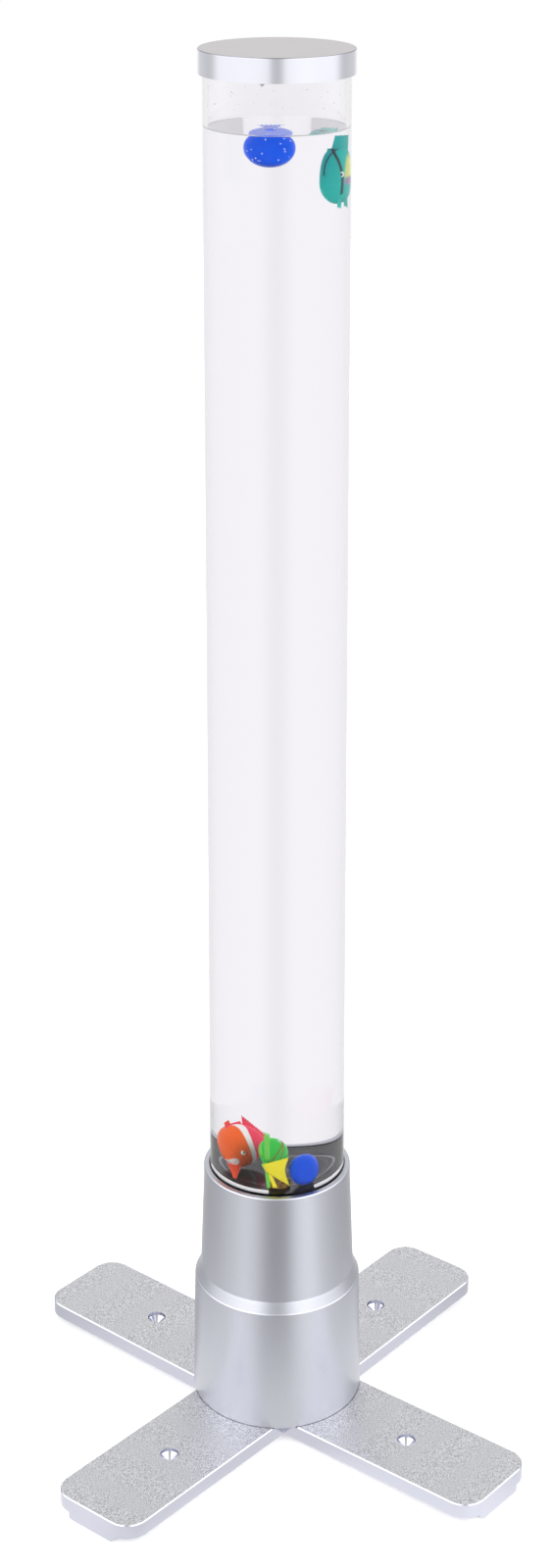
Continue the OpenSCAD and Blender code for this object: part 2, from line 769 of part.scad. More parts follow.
// A fish with its nose towards +X, its back towards +Z, its fins and its forked tail
module fish_shape() {
    tail = [[-0.36, 0.1], [-0.62, fin_reach], [-tail_reach, 0.3], [-0.6, 0],
            [-tail_reach, -0.3], [-0.62, -fin_reach], [-0.36, -0.1]];
    back_fin = [[0.22, 0.2], [0.06, 0.3], [-0.2, fin_reach], [-0.3, 0.26], [-0.2, 0.1]];
    belly_fin = [[0.1, -0.18], [-0.02, -0.33], [-0.12, -fin_reach], [-0.1, -0.14]];
    side_fin = [[0, 0], [-0.08, 0.1], [-0.24, 0.08], [-0.26, -0.04], [-0.1, -0.08]];
    scale([1, fish_thick / fish_len, fish_deep / fish_len]) sphere(d = fish_len);
    for (outline = [tail, back_fin, belly_fin])
        rotate([90, 0, 0]) linear_extrude(fin_t, center = true) polygon(fish_len * outline);
    for (side_y = [-1, 1])
        translate([0.12 * fish_len, side_y * fish_thick * 0.44, -0.06 * fish_len])
            rotate([90, 0, -side_y * 24]) linear_extrude(fin_t, center = true) polygon(fish_len * side_fin);
}

module fish_at(fish, base_z) {
    at_fish(fish, base_z) scale(fish[0]) fish_shape();
}

module fish_blue_floating() { color("royalblue") fish_at(FLOAT_BLUE, water_z); }
module fish_teal_floating() { color("mediumturquoise") fish_at(FLOAT_TEAL, water_z); }
module fish_orange_sunk() { color("orangered") fish_at(SUNK_ORANGE, disc_top_z); }
module fish_green_sunk() { color("limegreen") fish_at(SUNK_GREEN, disc_top_z); }
module fish_blue_sunk() { color("mediumblue") fish_at(SUNK_BLUE, disc_top_z); }

leg_front_left();
leg_front_right();
leg_back_left();
leg_back_right();
leg_screws();
base_plate();
base_plate_screws();
housing();
tube_gasket();
clear_tube();
tube_base_disc();
air_inlet();
air_stone();
water();
cap_shell();
cap_liner();
cap_seal();
led_board();
leds();
pump_feet();
air_pump();
check_valve();
air_hose();
control_board();
wiring();
power_inlet();
button_switch();
power_button();
fish_blue_floating();
fish_teal_floating();
fish_orange_sunk();
fish_green_sunk();
fish_blue_sunk();
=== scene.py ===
"""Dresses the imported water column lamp: tube, water, toy fish, silver housing, cap and legs."""

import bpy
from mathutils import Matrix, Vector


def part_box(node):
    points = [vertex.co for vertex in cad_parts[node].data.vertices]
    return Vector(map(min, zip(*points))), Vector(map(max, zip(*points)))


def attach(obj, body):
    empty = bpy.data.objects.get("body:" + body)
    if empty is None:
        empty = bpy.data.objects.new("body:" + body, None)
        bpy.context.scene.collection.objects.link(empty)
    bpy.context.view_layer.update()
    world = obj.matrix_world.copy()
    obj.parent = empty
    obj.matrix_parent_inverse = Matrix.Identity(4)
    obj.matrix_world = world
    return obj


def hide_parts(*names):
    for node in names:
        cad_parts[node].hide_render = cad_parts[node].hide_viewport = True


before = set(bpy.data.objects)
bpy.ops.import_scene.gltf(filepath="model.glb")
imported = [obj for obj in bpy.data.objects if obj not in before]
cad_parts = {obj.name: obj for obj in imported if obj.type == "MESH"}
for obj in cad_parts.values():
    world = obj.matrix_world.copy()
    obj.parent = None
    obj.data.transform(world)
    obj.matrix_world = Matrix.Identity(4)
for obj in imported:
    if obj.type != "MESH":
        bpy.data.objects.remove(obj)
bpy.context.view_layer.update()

import logging
import math
from collections.abc import Mapping, Sequence
from dataclasses import dataclass, replace
from enum import Enum

import bpy
import numpy as np
from mathutils import Euler, Matrix, Vector

LOG = logging.getLogger("lamp")
MM = 0.001
TURN = 2 * math.pi

# The photograph's frame in pixels, and the camera that was fitted to it
FRAME_W, FRAME_H = 563, 1600
FOCAL_PX = 2803.19
PRINCIPAL_PX = (282.4, 493.4)
SENSOR_MM = 36.0
CAMERA_AT = Vector((-0.1563, -1.6355, 1.1475))
CAMERA_AZIMUTH = math.radians(-95.457)
CAMERA_DIP = math.radians(16.583)

# Corners and levels of the CAD nodes
TUBE_LOW, TUBE_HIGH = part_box("clear_tube")
WATER_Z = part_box("water")[1].z
DISC_LOW_Z, DISC_Z = (corner.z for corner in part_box("tube_base_disc"))

# The CAD source's sizes that its table of fish is in shares of
FISH_LEN = 0.038
BORE_R = 0.042

Tree = bpy.types.NodeTree
Socket = bpy.types.NodeSocket
Piece = bpy.types.Object
Colour = tuple[float, float, float, float]
Point = tuple[float, float, float]
Ring = tuple[tuple[float, float], ...]


def linear(hex_colour: str) -> Colour:
    """Turns an sRGB hex colour into linear RGBA.

    Args:
        hex_colour: A colour such as "#A0B1C2".

    Returns:
        The colour as Blender's shaders take it.
    """
    channels = [int(hex_colour[i:i + 2], 16) / 255 for i in (1, 3, 5)]
    curved = [c / 12.92 if c <= 0.04045 else ((c + 0.055) / 1.055) ** 2.4 for c in channels]
    return (*curved, 1.0)


def grey(level: float) -> Colour:
    """Returns an even grey of a linear level."""
    return (level, level, level, 1.0)


# Nodes


def add_node(
    tree: Tree,
    kind: str,
    settings: Mapping[str, object] | None = None,
    inputs: Mapping[str | int, object] | None = None,
) -> bpy.types.Node:
    """Adds one node to a tree.

    Args:
        tree: The shader or geometry tree.
        kind: The node's Blender type name.
        settings: The node's own properties.
        inputs: Values for its sockets, or sockets to link to them.

    Returns:
        The new node.
    """
    node = tree.nodes.new(kind)
    for name, value in (settings or {}).items():
        setattr(node, name, value)
    for key, value in (inputs or {}).items():
        if isinstance(value, Socket):
            tree.links.new(value, node.inputs[key])
        else:
            node.inputs[key].default_value = value
    return node


def arithmetic(tree: Tree, operation: str, *values: object) -> Socket:
    """Adds one sum, product or the like of values and sockets, and returns its result."""
    return add_node(tree, "ShaderNodeMath", {"operation": operation}, dict(enumerate(values))).outputs[0]


def vector_maths(tree: Tree, operation: str, *values: object) -> Socket:
    """Does the same with vectors. The result of a length, distance or dot product is a number."""
    node = add_node(tree, "ShaderNodeVectorMath", {"operation": operation}, dict(enumerate(values)))
    return node.outputs["Value" if operation in ("LENGTH", "DISTANCE", "DOT_PRODUCT") else "Vector"]


def part_of(tree: Tree, vector: Socket, axis: str) -> Socket:
    """Returns a vector's X, Y or Z."""
    return add_node(tree, "ShaderNodeSeparateXYZ", inputs={0: vector}).outputs[axis]


def object_place(tree: Tree) -> Socket:
    """Returns the Object coordinates, in metres."""
    return add_node(tree, "ShaderNodeTexCoord").outputs["Object"]


def axis_distance(tree: Tree) -> Socket:
    """Returns the distance from the lamp's axis, in metres."""
    return vector_maths(tree, "LENGTH", vector_maths(tree, "MULTIPLY", object_place(tree), (1, 1, 0)))


def grain(tree: Tree, size_mm: float, detail: float = 2.0) -> Socket:
    """Returns noise whose grains are about size_mm across."""
    return add_node(tree, "ShaderNodeTexNoise", inputs={
        "Vector": object_place(tree), "Scale": 1 / (size_mm * MM), "Detail": detail}).outputs["Fac"]


def cells(tree: Tree, size_mm: float) -> Socket:
    """Returns one random level for each cell, of about size_mm across."""
    tones = add_node(tree, "ShaderNodeTexVoronoi", inputs={
        "Vector": object_place(tree), "Scale": 1 / (size_mm * MM)}).outputs["Color"]
    return add_node(tree, "ShaderNodeSeparateColor", inputs={0: tones}).outputs[0]


def shade_range(tree: Tree, value: Socket, low: float, high: float,
                start: float = 0.3, end: float = 0.7) -> Socket:
    """Maps start..end of a value to low..high."""
    return add_node(tree, "ShaderNodeMapRange", inputs={
        "Value": value, "From Min": start, "From Max": end, "To Min": low, "To Max": high}).outputs["Result"]


def ramp(tree: Tree, factor: Socket, stops: Sequence[tuple[float, float]]) -> Socket:
    """Adds a grey colour ramp, whose stops ease into each other.

    Args:
        tree: The shader tree.
        factor: Where the ramp is read.
        stops: Position and level of each stop.

    Returns:
        The ramp's colour.
    """
    node = add_node(tree, "ShaderNodeValToRGB", inputs={"Fac": factor})
    node.color_ramp.interpolation = "EASE"
    elements = node.color_ramp.elements
    while len(elements) < len(stops):
        elements.new(0.5)
    for element, (position, level) in zip(elements, stops):
        element.position = position
        element.color = grey(level)
    return node.outputs["Color"]


def blend_colour(tree: Tree, factor: Socket, first: object, second: object) -> Socket:
    """Mixes two colours, each a value or a socket, and returns the result's socket."""
    return add_node(tree, "ShaderNodeMix", {"data_type": "RGBA"}, {0: factor, 6: first, 7: second}).outputs[2]


def bump(tree: Tree, height: Socket, strength: float, depth_mm: float) -> Socket:
    """Returns the normal of a relief that is depth_mm deep."""
    return add_node(tree, "ShaderNodeBump", inputs={
        "Height": height, "Strength": strength, "Distance": depth_mm * MM}).outputs["Normal"]


def principled(tree: Tree, inputs: Mapping[str | int, object]) -> Socket:
    """Adds a Principled shader with those inputs and returns its output."""
    return add_node(tree, "ShaderNodeBsdfPrincipled", inputs=inputs).outputs["BSDF"]


def emission(tree: Tree, colour: object, strength: object = 1.0) -> Socket:
    """Adds a glow of a colour and strength, each a value or a socket, and returns its output."""
    return add_node(tree, "ShaderNodeEmission", inputs={"Color": colour, "Strength": strength}).outputs[0]


def mix_shader(tree: Tree, factor: Socket, first: Socket, second: Socket) -> Socket:
    """Mixes two shaders and returns the result."""
    return add_node(tree, "ShaderNodeMixShader", inputs={0: factor, 1: first, 2: second}).outputs[0]


def emptied(block: bpy.types.Material | bpy.types.World) -> Tree:
    """Returns a material's or a world's node tree, emptied."""
    block.use_nodes = True
    block.node_tree.nodes.clear()
    return block.node_tree


# Finishes


@dataclass(frozen=True)
class Finish:
    """A finish, which builds its material the first time it is asked for."""

    name: str

    def material(self) -> bpy.types.Material:
        """Builds the material, if it isn't there yet.

        Returns:
            The material of this finish's name.
        """
        known = bpy.data.materials.get(self.name)
        if known is not None:
            return known
        material = bpy.data.materials.new(self.name)
        tree = emptied(material)
        add_node(tree, "ShaderNodeOutputMaterial", inputs={"Surface": self.surface(tree)})
        return material

    def surface(self, tree: Tree) -> Socket:
        """Builds the shader.

        Args:
            tree: The material's own tree.

        Returns:
            The shader's output.
        """
        raise NotImplementedError

    def dress(self, *objects: Piece) -> None:
        """Puts this finish on every slot of some objects.

        Args:
            *objects: Pieces of this script or CAD nodes.
        """
        for item in objects:
            slots = item.data.materials
            if not slots:
                slots.append(self.material())
            for index in range(len(slots)):
                slots[index] = self.material()


@dataclass(frozen=True)
class SilverPaint(Finish):
    """Metal-flake paint sprayed on moulded ABS: a soft, faintly grainy mirror without brush marks."""

    colour: str = "#C3C5CD"
    shade: str = "#9A9CA6"
    shade_share: float = 0.08
    roughness: float = 0.3
    rougher: float = 0.06
    flake_mm: float = 0.9
    relief: float = 0.02
    depth_mm: float = 0.1

    def surface(self, tree: Tree) -> Socket:
        """Flakes give the paint its slight change of tone and gloss."""
        flakes = grain(tree, self.flake_mm)
        share = shade_range(tree, flakes, 0.0, self.shade_share)
        return principled(tree, {
            "Base Color": blend_colour(tree, share, linear(self.colour), linear(self.shade)), "Metallic": 1.0,
            "Roughness": shade_range(tree, flakes, self.roughness, self.roughness + self.rougher),
            "Normal": bump(tree, flakes, self.relief, self.depth_mm)})


@dataclass(frozen=True)
class HousingPaint(SilverPaint):
    """The same paint on the housing, with the inside of its socket dark grey."""

    socket_r: float = 0.0457
    # Dark grey inside the socket
    socket_grey: str = "#3A3B40"

    def surface(self, tree: Tree) -> Socket:
        """The paint stops at the socket's wall."""
        socket_inside = principled(tree, {"Base Color": linear(self.socket_grey)})
        painted = arithmetic(tree, "GREATER_THAN", axis_distance(tree), self.socket_r)
        return mix_shader(tree, painted, socket_inside, super().surface(tree))


@dataclass(frozen=True)
class SparkTexturedPaint(Finish):
    """Silver paint over a spark-eroded mould texture on the faces that look up, and satin on the sides. Its
    pits and its bevel get darker tones of painted shade.
    """

    colour: str = "#E6E6EA"
    # Darker tone of the texture's pits: painted shade
    pit_shade: str = "#A4A5A9"
    grain_mm: float = 1.3
    relief: float = 0.9
    depth_mm: float = 0.15
    roughness: float = 0.42
    side_colour: str = "#CBCCD8"
    side_roughness: float = 0.22
    # The bevel's own tone, darker than the top: painted shade on the rounded edge
    bevel_shade: str = "#CDCED8"
    # How far the normal points up where the top begins and where the bevel does, and the noise over which the
    # pits take their painted shade
    top_up: tuple[float, float] = (0.9, 0.97)
    edge_up: tuple[float, float] = (0.2, 0.5)
    pit_shaded: tuple[float, float] = (0.35, 0.6)

    def surface(self, tree: Tree) -> Socket:
        """The texture's grains are drawn a little coarser than the real 0.5 mm, to show at all."""
        up = part_of(tree, add_node(tree, "ShaderNodeNewGeometry").outputs["Normal"], "Z")
        top = shade_range(tree, up, 0.0, 1.0, *self.top_up)
        below_top = shade_range(tree, up, 1.0, 0.0, *self.top_up)
        bevel = arithmetic(tree, "MULTIPLY", shade_range(tree, up, 0.0, 1.0, *self.edge_up), below_top)
        coarse = grain(tree, self.grain_mm, 3.0)
        fine = grain(tree, self.grain_mm / 2, 1.0)
        height = arithmetic(tree, "MULTIPLY", arithmetic(tree, "ADD", coarse, fine), top)
        # The pits, where the fine noise and the relief are low, take the darker tone: painted shade
        pit_shaded_tone = blend_colour(tree, shade_range(tree, fine, 1.0, 0.0, *self.pit_shaded),
                                linear(self.colour), linear(self.pit_shade))
        tone = blend_colour(tree, top, linear(self.side_colour), pit_shaded_tone)
        return principled(tree, {
            # The bevel takes its own darker tone: painted shade
            "Base Color": blend_colour(tree, bevel, tone, linear(self.bevel_shade)), "Metallic": 1.0,
            "Roughness": shade_range(tree, top, self.side_roughness, self.roughness, 0.0, 1.0),
            "Normal": bump(tree, height, self.relief, self.depth_mm)})


@dataclass(frozen=True)
class ClearBody(Finish):
    """A clear solid or liquid. Lamps shine through it, as they do through a polished wall.

    mirror is the share of its reflection that the studio's black drapes leave. A ray that has been reflected
    twice meets an even grey glow at the level set below, a painted glow that stands in for light the round
    wall has trapped.
    """

    ior: float = 1.49
    tint: str = "#FFFFFF"
    mirror: float = 0.2
    # Level of the painted glow that stands in for light trapped in the round wall
    painted_glow: float = 0.6

    def surface(self, tree: Tree) -> Socket:
        """Shadow rays pass, and rays that have been reflected twice see the painted glow."""
        clear = principled(tree, {
            "Base Color": linear(self.tint), "Transmission Weight": 1.0, "IOR": self.ior, "Roughness": 0.0,
            "Specular Tint": grey(self.mirror)})
        path = add_node(tree, "ShaderNodeLightPath")
        twice = arithmetic(tree, "GREATER_THAN", path.outputs["Glossy Depth"], 1.5)
        # Rays reflected twice see an even grey glow: painted light in place of trapped light
        clear_or_painted_glow = mix_shader(tree, twice, clear, emission(tree, grey(self.painted_glow)))
        open_air = add_node(tree, "ShaderNodeBsdfTransparent").outputs["BSDF"]
        return mix_shader(tree, path.outputs["Is Shadow Ray"], clear_or_painted_glow, open_air)


@dataclass(frozen=True)
class TurnedMirror(Finish):
    """Smoked acrylic over a silvered back, faced on a lathe: a dark mirror with fine rings."""

    dark: str = "#18181C"
    light: str = "#C2C2CA"
    ring_mm: float = 3.5
    lit: tuple[float, float] = (0.56, 0.8)
    roughness: tuple[float, float] = (0.08, 0.2)
    relief: float = 0.4
    depth_mm: float = 0.06

    def surface(self, tree: Tree) -> Socket:
        """The tool left wide rings with fine ones between them."""
        rings = add_node(tree, "ShaderNodeTexNoise", {"noise_dimensions": "1D"}, {
            "W": axis_distance(tree), "Scale": 1 / (self.ring_mm * MM), "Detail": 5.0}).outputs["Fac"]
        share = shade_range(tree, rings, 0.0, 1.0, *self.lit)
        return principled(tree, {
            "Base Color": blend_colour(tree, share, linear(self.dark), linear(self.light)), "Metallic": 1.0,
            "Roughness": shade_range(tree, rings, *self.roughness),
            "Normal": bump(tree, rings, self.relief, self.depth_mm)})


@dataclass(frozen=True)
class Moulding(Finish):
    """Injection-moulded plastic or rubber with a fine mould grain."""

    colour: str
    roughness: float
    grain_mm: float = 1.0
    depth_mm: float = 0.02
    relief: float = 0.5
    lighter: float = 1.1
    rougher: float = 0.08

    def surface(self, tree: Tree) -> Socket:
        """The grain shades the colour by a few per cent."""
        pattern = grain(tree, self.grain_mm)
        low = linear(self.colour)
        high = (*(min(1.0, c * self.lighter) for c in low[:3]), 1.0)
        return principled(tree, {
            "Base Color": blend_colour(tree, shade_range(tree, pattern, 0, 1), low, high),
            "Roughness": shade_range(tree, pattern, self.roughness, self.roughness + self.rougher),
            "Normal": bump(tree, pattern, self.relief, self.depth_mm)})


@dataclass(frozen=True)
class Crystals(Finish):
    """A material of small cells, each with its own tone and gloss, such as zinc plate or sintered grains."""

    first: str = "#B9BCC2"
    second: str = "#9DA1A8"
    cell_mm: float = 3.0
    roughness: tuple[float, float] = (0.34, 0.44)
    metallic: float = 1.0

    def surface(self, tree: Tree) -> Socket:
        """Each cell lies somewhere between the two tones."""
        level = cells(tree, self.cell_mm)
        return principled(tree, {
            "Base Color": blend_colour(tree, level, linear(self.first), linear(self.second)),
            "Metallic": self.metallic, "Roughness": shade_range(tree, level, *self.roughness, 0, 1)})


@dataclass(frozen=True)
class Band:
    """A painted band across a fish, in shares of its length.

    It is straight, with side as the way across it, or an arc if it has a radius. Towards the nose it ends at
    until.
    """

    colour: str
    centre: tuple[float, float]
    half_width: float
    side: tuple[float, float] = (1.0, 0.0)
    radius: float = 0.0
    soft: float = 0.012
    until: float = 1.0
    fade: float = 0.02

    def cover(self, tree: Tree, along: Socket) -> Socket:
        """Works out how far the band covers each place.

        Args:
            tree: The shader tree.
            along: Places in the fish's own axes, in shares of its length.

        Returns:
            1 on the band, 0 off it.
        """
        flat = vector_maths(tree, "MULTIPLY", along, (1, 0, 1))
        centre = (self.centre[0], 0.0, self.centre[1])
        if self.radius:
            away = vector_maths(tree, "DISTANCE", flat, centre)
            off = arithmetic(tree, "SUBTRACT", away, self.radius)
        else:
            side = Vector((self.side[0], 0.0, self.side[1])).normalized()
            off = vector_maths(tree, "DOT_PRODUCT", vector_maths(tree, "SUBTRACT", flat, centre), tuple(side))
        cover = shade_range(tree, arithmetic(tree, "ABSOLUTE", off), 1.0, 0.0,
                            self.half_width - self.soft, self.half_width + self.soft)
        if self.until < 1:
            before = shade_range(tree, part_of(tree, along, "X"), 1.0, 0.0,
                                 self.until - self.fade, self.until + self.fade)
            cover = arithmetic(tree, "MULTIPLY", cover, before)
        return cover


@dataclass(frozen=True)
class PaintedVinyl(Finish):
    """Soft glossy vinyl with sprayed bands, as on moulded toy fish. Its gloss is low, as it is in water."""

    colour: str = "#2050C8"
    bands: tuple[Band, ...] = ()
    scale_share: float = 0.0
    place: Point = (0.0, 0.0, 0.0)
    turn: Point = (0.0, 0.0, 0.0)
    length: float = 0.038
    gloss: float = 0.2
    dimple_mm: float = 1.5
    roughness: tuple[float, float] = (0.25, 0.38)
    relief: float = 0.7
    depth_mm: float = 0.35

    def surface(self, tree: Tree) -> Socket:
        """The Mapping node gives places along the fish, so the bands lie square to it."""
        along = add_node(tree, "ShaderNodeMapping", {"vector_type": "TEXTURE"}, {
            "Vector": object_place(tree), "Location": self.place, "Rotation": self.turn,
            "Scale": (self.length,) * 3}).outputs["Vector"]
        tone: object = linear(self.colour)
        for band in self.bands:
            tone = blend_colour(tree, band.cover(tree, along), tone, linear(band.colour))
        inputs: dict[str | int, object] = {
            "Base Color": tone, "Specular IOR Level": self.gloss,
            "Roughness": shade_range(tree, grain(tree, self.dimple_mm), *self.roughness)}
        if self.scale_share:
            scales = add_node(tree, "ShaderNodeTexVoronoi", inputs={
                "Vector": along, "Scale": 1 / self.scale_share}).outputs["Distance"]
            inputs["Normal"] = bump(tree, scales, self.relief, self.depth_mm)
        return principled(tree, inputs)


HOUSING_PAINT = HousingPaint("silver_paint_on_abs_housing", colour="#C6C8D0")
BUTTON_PAINT = SilverPaint("satin_silver_paint_button", colour="#D6D7DC", roughness=0.25)
LEG_PAINT = SparkTexturedPaint("spark_textured_silver_paint")
# On the cap the bevel tone is a dark band round the top edge, and the pits are a little darker: painted shade
CAP_TOP_PAINT = SparkTexturedPaint(
    "fine_textured_cap_top", colour="#D0CDCD", pit_shade="#BDBABB", grain_mm=0.8, depth_mm=0.05,
    side_colour="#EDEDF6", side_roughness=0.2, bevel_shade="#93939B")
ACRYLIC = ClearBody("cast_acrylic_tube", ior=1.49, tint="#FAF9FB")
WATER = ClearBody("still_water", ior=1.33, tint="#FEFEFF")
DISC = TurnedMirror("turned_smoked_acrylic_disc")
# A white bead along the disc's edge that stands in for light caught there: painted highlight
EDGE_HIGHLIGHT = Moulding("white_painted_edge_highlight", "#FFFCFD", 0.15, depth_mm=0.0)
# White beads that stand in for the bright glints of clear droplets and bubbles: painted highlights
BUBBLE_GLINT = Moulding("painted_bubble_glint", "#F4F6FA", 0.1, depth_mm=0.0)
STONE = Crystals("sintered_air_stone", "#6B4A1C", "#C79A4C", cell_mm=0.8, roughness=(0.35, 0.6), metallic=0.0)
RUBBER = Moulding("black_nitrile_rubber", "#2B2B2E", 0.6, grain_mm=0.8)
WHITE_ABS = Moulding("white_abs_moulding", "#E4E4E2", 0.3)
GREY_ABS = Moulding("grey_abs_moulding", "#4C4D52", 0.5, depth_mm=0.05)
SILICONE = Moulding("translucent_silicone_hose", "#DADCDC", 0.4)
GREEN_MASK = Moulding("green_solder_mask", "#1C6B42", 0.3, grain_mm=2.0)
WHITE_MASK = Moulding("white_solder_mask", "#EDEDEA", 0.35, grain_mm=2.0)
LED_RESIN = Moulding("cast_led_resin", "#F3EFD8", 0.15)
RED_PVC = Moulding("red_pvc_wire", "#B32018", 0.35)
STEEL = Crystals("zinc_plated_steel")
EYE_WHITE = Moulding("white_eye_lacquer", "#F2F4F2", 0.12, depth_mm=0.0)
EYE_BLACK = Moulding("black_eye_lacquer", "#101014", 0.08, depth_mm=0.0)


# Meshes


def add_object(name: str, data: bpy.types.ID) -> Piece:
    """Makes an object of a mesh, camera or light, and links it to the scene."""
    item = bpy.data.objects.new(name, data)
    bpy.context.scene.collection.objects.link(item)
    return item


def mesh_piece(name: str, points: np.ndarray, faces: Sequence[Sequence[int]]) -> Piece:
    """Makes a smooth-shaded object at the origin from points and faces.

    Args:
        name: The piece's name.
        points: An N by 3 array, in metres.
        faces: Vertex numbers of each face, turning outwards.

    Returns:
        The linked object.
    """
    mesh = bpy.data.meshes.new(name)
    mesh.from_pydata([tuple(map(float, p)) for p in points], [], [tuple(f) for f in faces])
    mesh.validate()
    mesh.polygons.foreach_set("use_smooth", [True] * len(mesh.polygons))
    return add_object(name, mesh)


def sharpen(piece: Piece, degrees: float = 35.0) -> Piece:
    """Keeps edges sharper than degrees crisp on a smooth mesh."""
    piece.data.set_sharp_from_angle(angle=math.radians(degrees))
    return piece


def lathe(name: str, profile: Sequence[tuple[float, float]], steps: int, closed: bool = False,
          arc: tuple[float, float] | None = None) -> Piece:
    """Turns a profile round the lamp's axis.

    Args:
        name: The piece's name.
        profile: Radius and height of each point, in metres, with the solid on the left going along it.
        steps: Points round the axis.
        closed: Whether the profile joins up with its start, as a ring's does.
        arc: First and last angle of a closed profile that goes only part of the way round.

    Returns:
        The turned piece, closed at the axis where the profile reaches it.
    """
    points: list[Point] = []
    rows: list[list[int]] = []
    first, last = arc or (0.0, TURN)
    gaps = steps - 1 if arc else steps
    angles = [first + (last - first) * i / gaps for i in range(steps)]
    for radius, height in profile:
        if radius == 0:
            rows.append([len(points)] * steps)
            points.append((0.0, 0.0, height))
            continue
        rows.append(list(range(len(points), len(points) + steps)))
        points += [(radius * math.cos(angle), radius * math.sin(angle), height) for angle in angles]
    pairs = list(zip(rows, rows[1:])) + ([(rows[-1], rows[0])] if closed else [])
    faces = [[row[0] for row in rows], [row[-1] for row in reversed(rows)]] if arc else []
    for low, high in pairs:
        for i in range(gaps):
            j = (i + 1) % steps
            face = list(dict.fromkeys((low[i], low[j], high[j], high[i])))
            if len(face) > 2:
                faces.append(face)
    return mesh_piece(name, np.array(points), faces)


def join(name: str, pieces: Sequence[Piece]) -> Piece:
    """Joins meshes with their materials.

    Args:
        name: The joined piece's name.
        pieces: One or more meshes, the first of which is kept.

    Returns:
        The joined piece.
    """
    kept = pieces[0]
    if len(pieces) > 1:
        with bpy.context.temp_override(active_object=kept, selected_editable_objects=list(pieces)):
            bpy.ops.object.join()
    kept.name = kept.data.name = name
    return kept


def plain_mesh(piece: Piece) -> Piece:
    """Turns a piece's evaluated mesh into its own, and takes its modifiers away.

    Args:
        piece: A mesh with modifiers.

    Returns:
        The same piece.
    """
    bpy.context.view_layer.update()
    evaluated = piece.evaluated_get(bpy.context.evaluated_depsgraph_get())
    piece.data = bpy.data.meshes.new_from_object(evaluated)
    piece.modifiers.clear()
    return piece


# Repeated beads, by Geometry Nodes


@dataclass(frozen=True)
class Beads:
    """Little round beads scattered over a surface and sunk into it."""

    per_square_metre: float
    least_r: float
    most_r: float
    seed: int
    finish: Finish
    sink: float = 0.0
    subdivisions: int = 2

    def on(self, surface: Piece, name: str) -> Piece:
        """Scatters the beads.

        Args:
            surface: The mesh to scatter them on, which is left as it is.
            name: The piece's name.

        Returns:
            A plain mesh of all the beads.
        """
        tree = bpy.data.node_groups.new(f"{name}_beads", "GeometryNodeTree")
        new_socket = tree.interface.new_socket
        new_socket("Geometry", in_out="INPUT", socket_type="NodeSocketGeometry")
        new_socket("Geometry", in_out="OUTPUT", socket_type="NodeSocketGeometry")
        values = {"Density": self.per_square_metre, "Least Radius": self.least_r, "Most Radius": self.most_r,
                  "Seed": self.seed}
        identifiers = {}
        for label in values:
            kind = "NodeSocketInt" if label == "Seed" else "NodeSocketFloat"
            identifiers[label] = new_socket(label, in_out="INPUT", socket_type=kind).identifier
        given = add_node(tree, "NodeGroupInput").outputs
        spots = add_node(tree, "GeometryNodeDistributePointsOnFaces", inputs={
            "Mesh": given["Geometry"], "Density": given["Density"], "Seed": given["Seed"]})
        placed = add_node(tree, "GeometryNodeSetPosition", inputs={
            "Geometry": spots.outputs["Points"],
            "Offset": vector_maths(tree, "MULTIPLY", spots.outputs["Normal"], (-self.sink,) * 3)})
        size = add_node(tree, "FunctionNodeRandomValue", {"data_type": "FLOAT"}, {
            2: given["Least Radius"], 3: given["Most Radius"], "Seed": given["Seed"]})
        bead = add_node(tree, "GeometryNodeMeshIcoSphere", inputs={"Subdivisions": self.subdivisions})
        shape = add_node(tree, "GeometryNodeInstanceOnPoints", inputs={
            "Points": placed.outputs["Geometry"], "Instance": bead.outputs["Mesh"],
            "Scale": size.outputs[1]}).outputs[0]
        for kind in ("GeometryNodeRealizeInstances", "GeometryNodeSetShadeSmooth"):
            shape = add_node(tree, kind, inputs={"Geometry": shape}).outputs[0]
        painted = add_node(tree, "GeometryNodeSetMaterial", inputs={
            "Geometry": shape, "Material": self.finish.material()})
        add_node(tree, "NodeGroupOutput", inputs={0: painted.outputs["Geometry"]})
        scattered = add_object(name, surface.data.copy())
        modifier = scattered.modifiers.new("beads", "NODES")
        modifier.node_group = tree
        for label, value in values.items():
            modifier[identifiers[label]] = value
        return plain_mesh(scattered)


def report(piece: Piece, body: str, slot: str, *stands_for: str) -> None:
    """Hands a dressed piece to the frame and logs it.

    Args:
        piece: The dressed piece.
        body: The CAD body that it rides on.
        slot: The record's material slot, which is not used.
        *stands_for: CAD nodes that it replaces.
    """
    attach(piece, body)
    if stands_for:
        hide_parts(*stands_for)
    LOG.info("%s: %d faces on %s", piece.name, len(piece.data.polygons), body)


# Sub-assemblies


class DressedNodes:
    """A sub-assembly whose CAD nodes have their final shape and only take their finishes."""

    finishes: tuple[tuple[Finish, tuple[str, ...]], ...] = ()

    def build(self) -> None:
        """Dresses the CAD nodes."""
        for finish, names in self.finishes:
            finish.dress(*(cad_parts[name] for name in names))
        LOG.info("%s dressed", type(self).__name__.lower())


class Legs(DressedNodes):
    """The four legs with their screws and the base plate."""

    finishes = (
        (LEG_PAINT, ("leg_front_left", "leg_front_right", "leg_back_left", "leg_back_right")),
        (STEEL, ("leg_screws", "base_plate", "base_plate_screws")))


class Housing(DressedNodes):
    """The housing and what its back shows."""

    finishes = (
        (HOUSING_PAINT, ("housing",)), (BUTTON_PAINT, ("power_button",)),
        (GREY_ABS, ("power_inlet", "button_switch")))


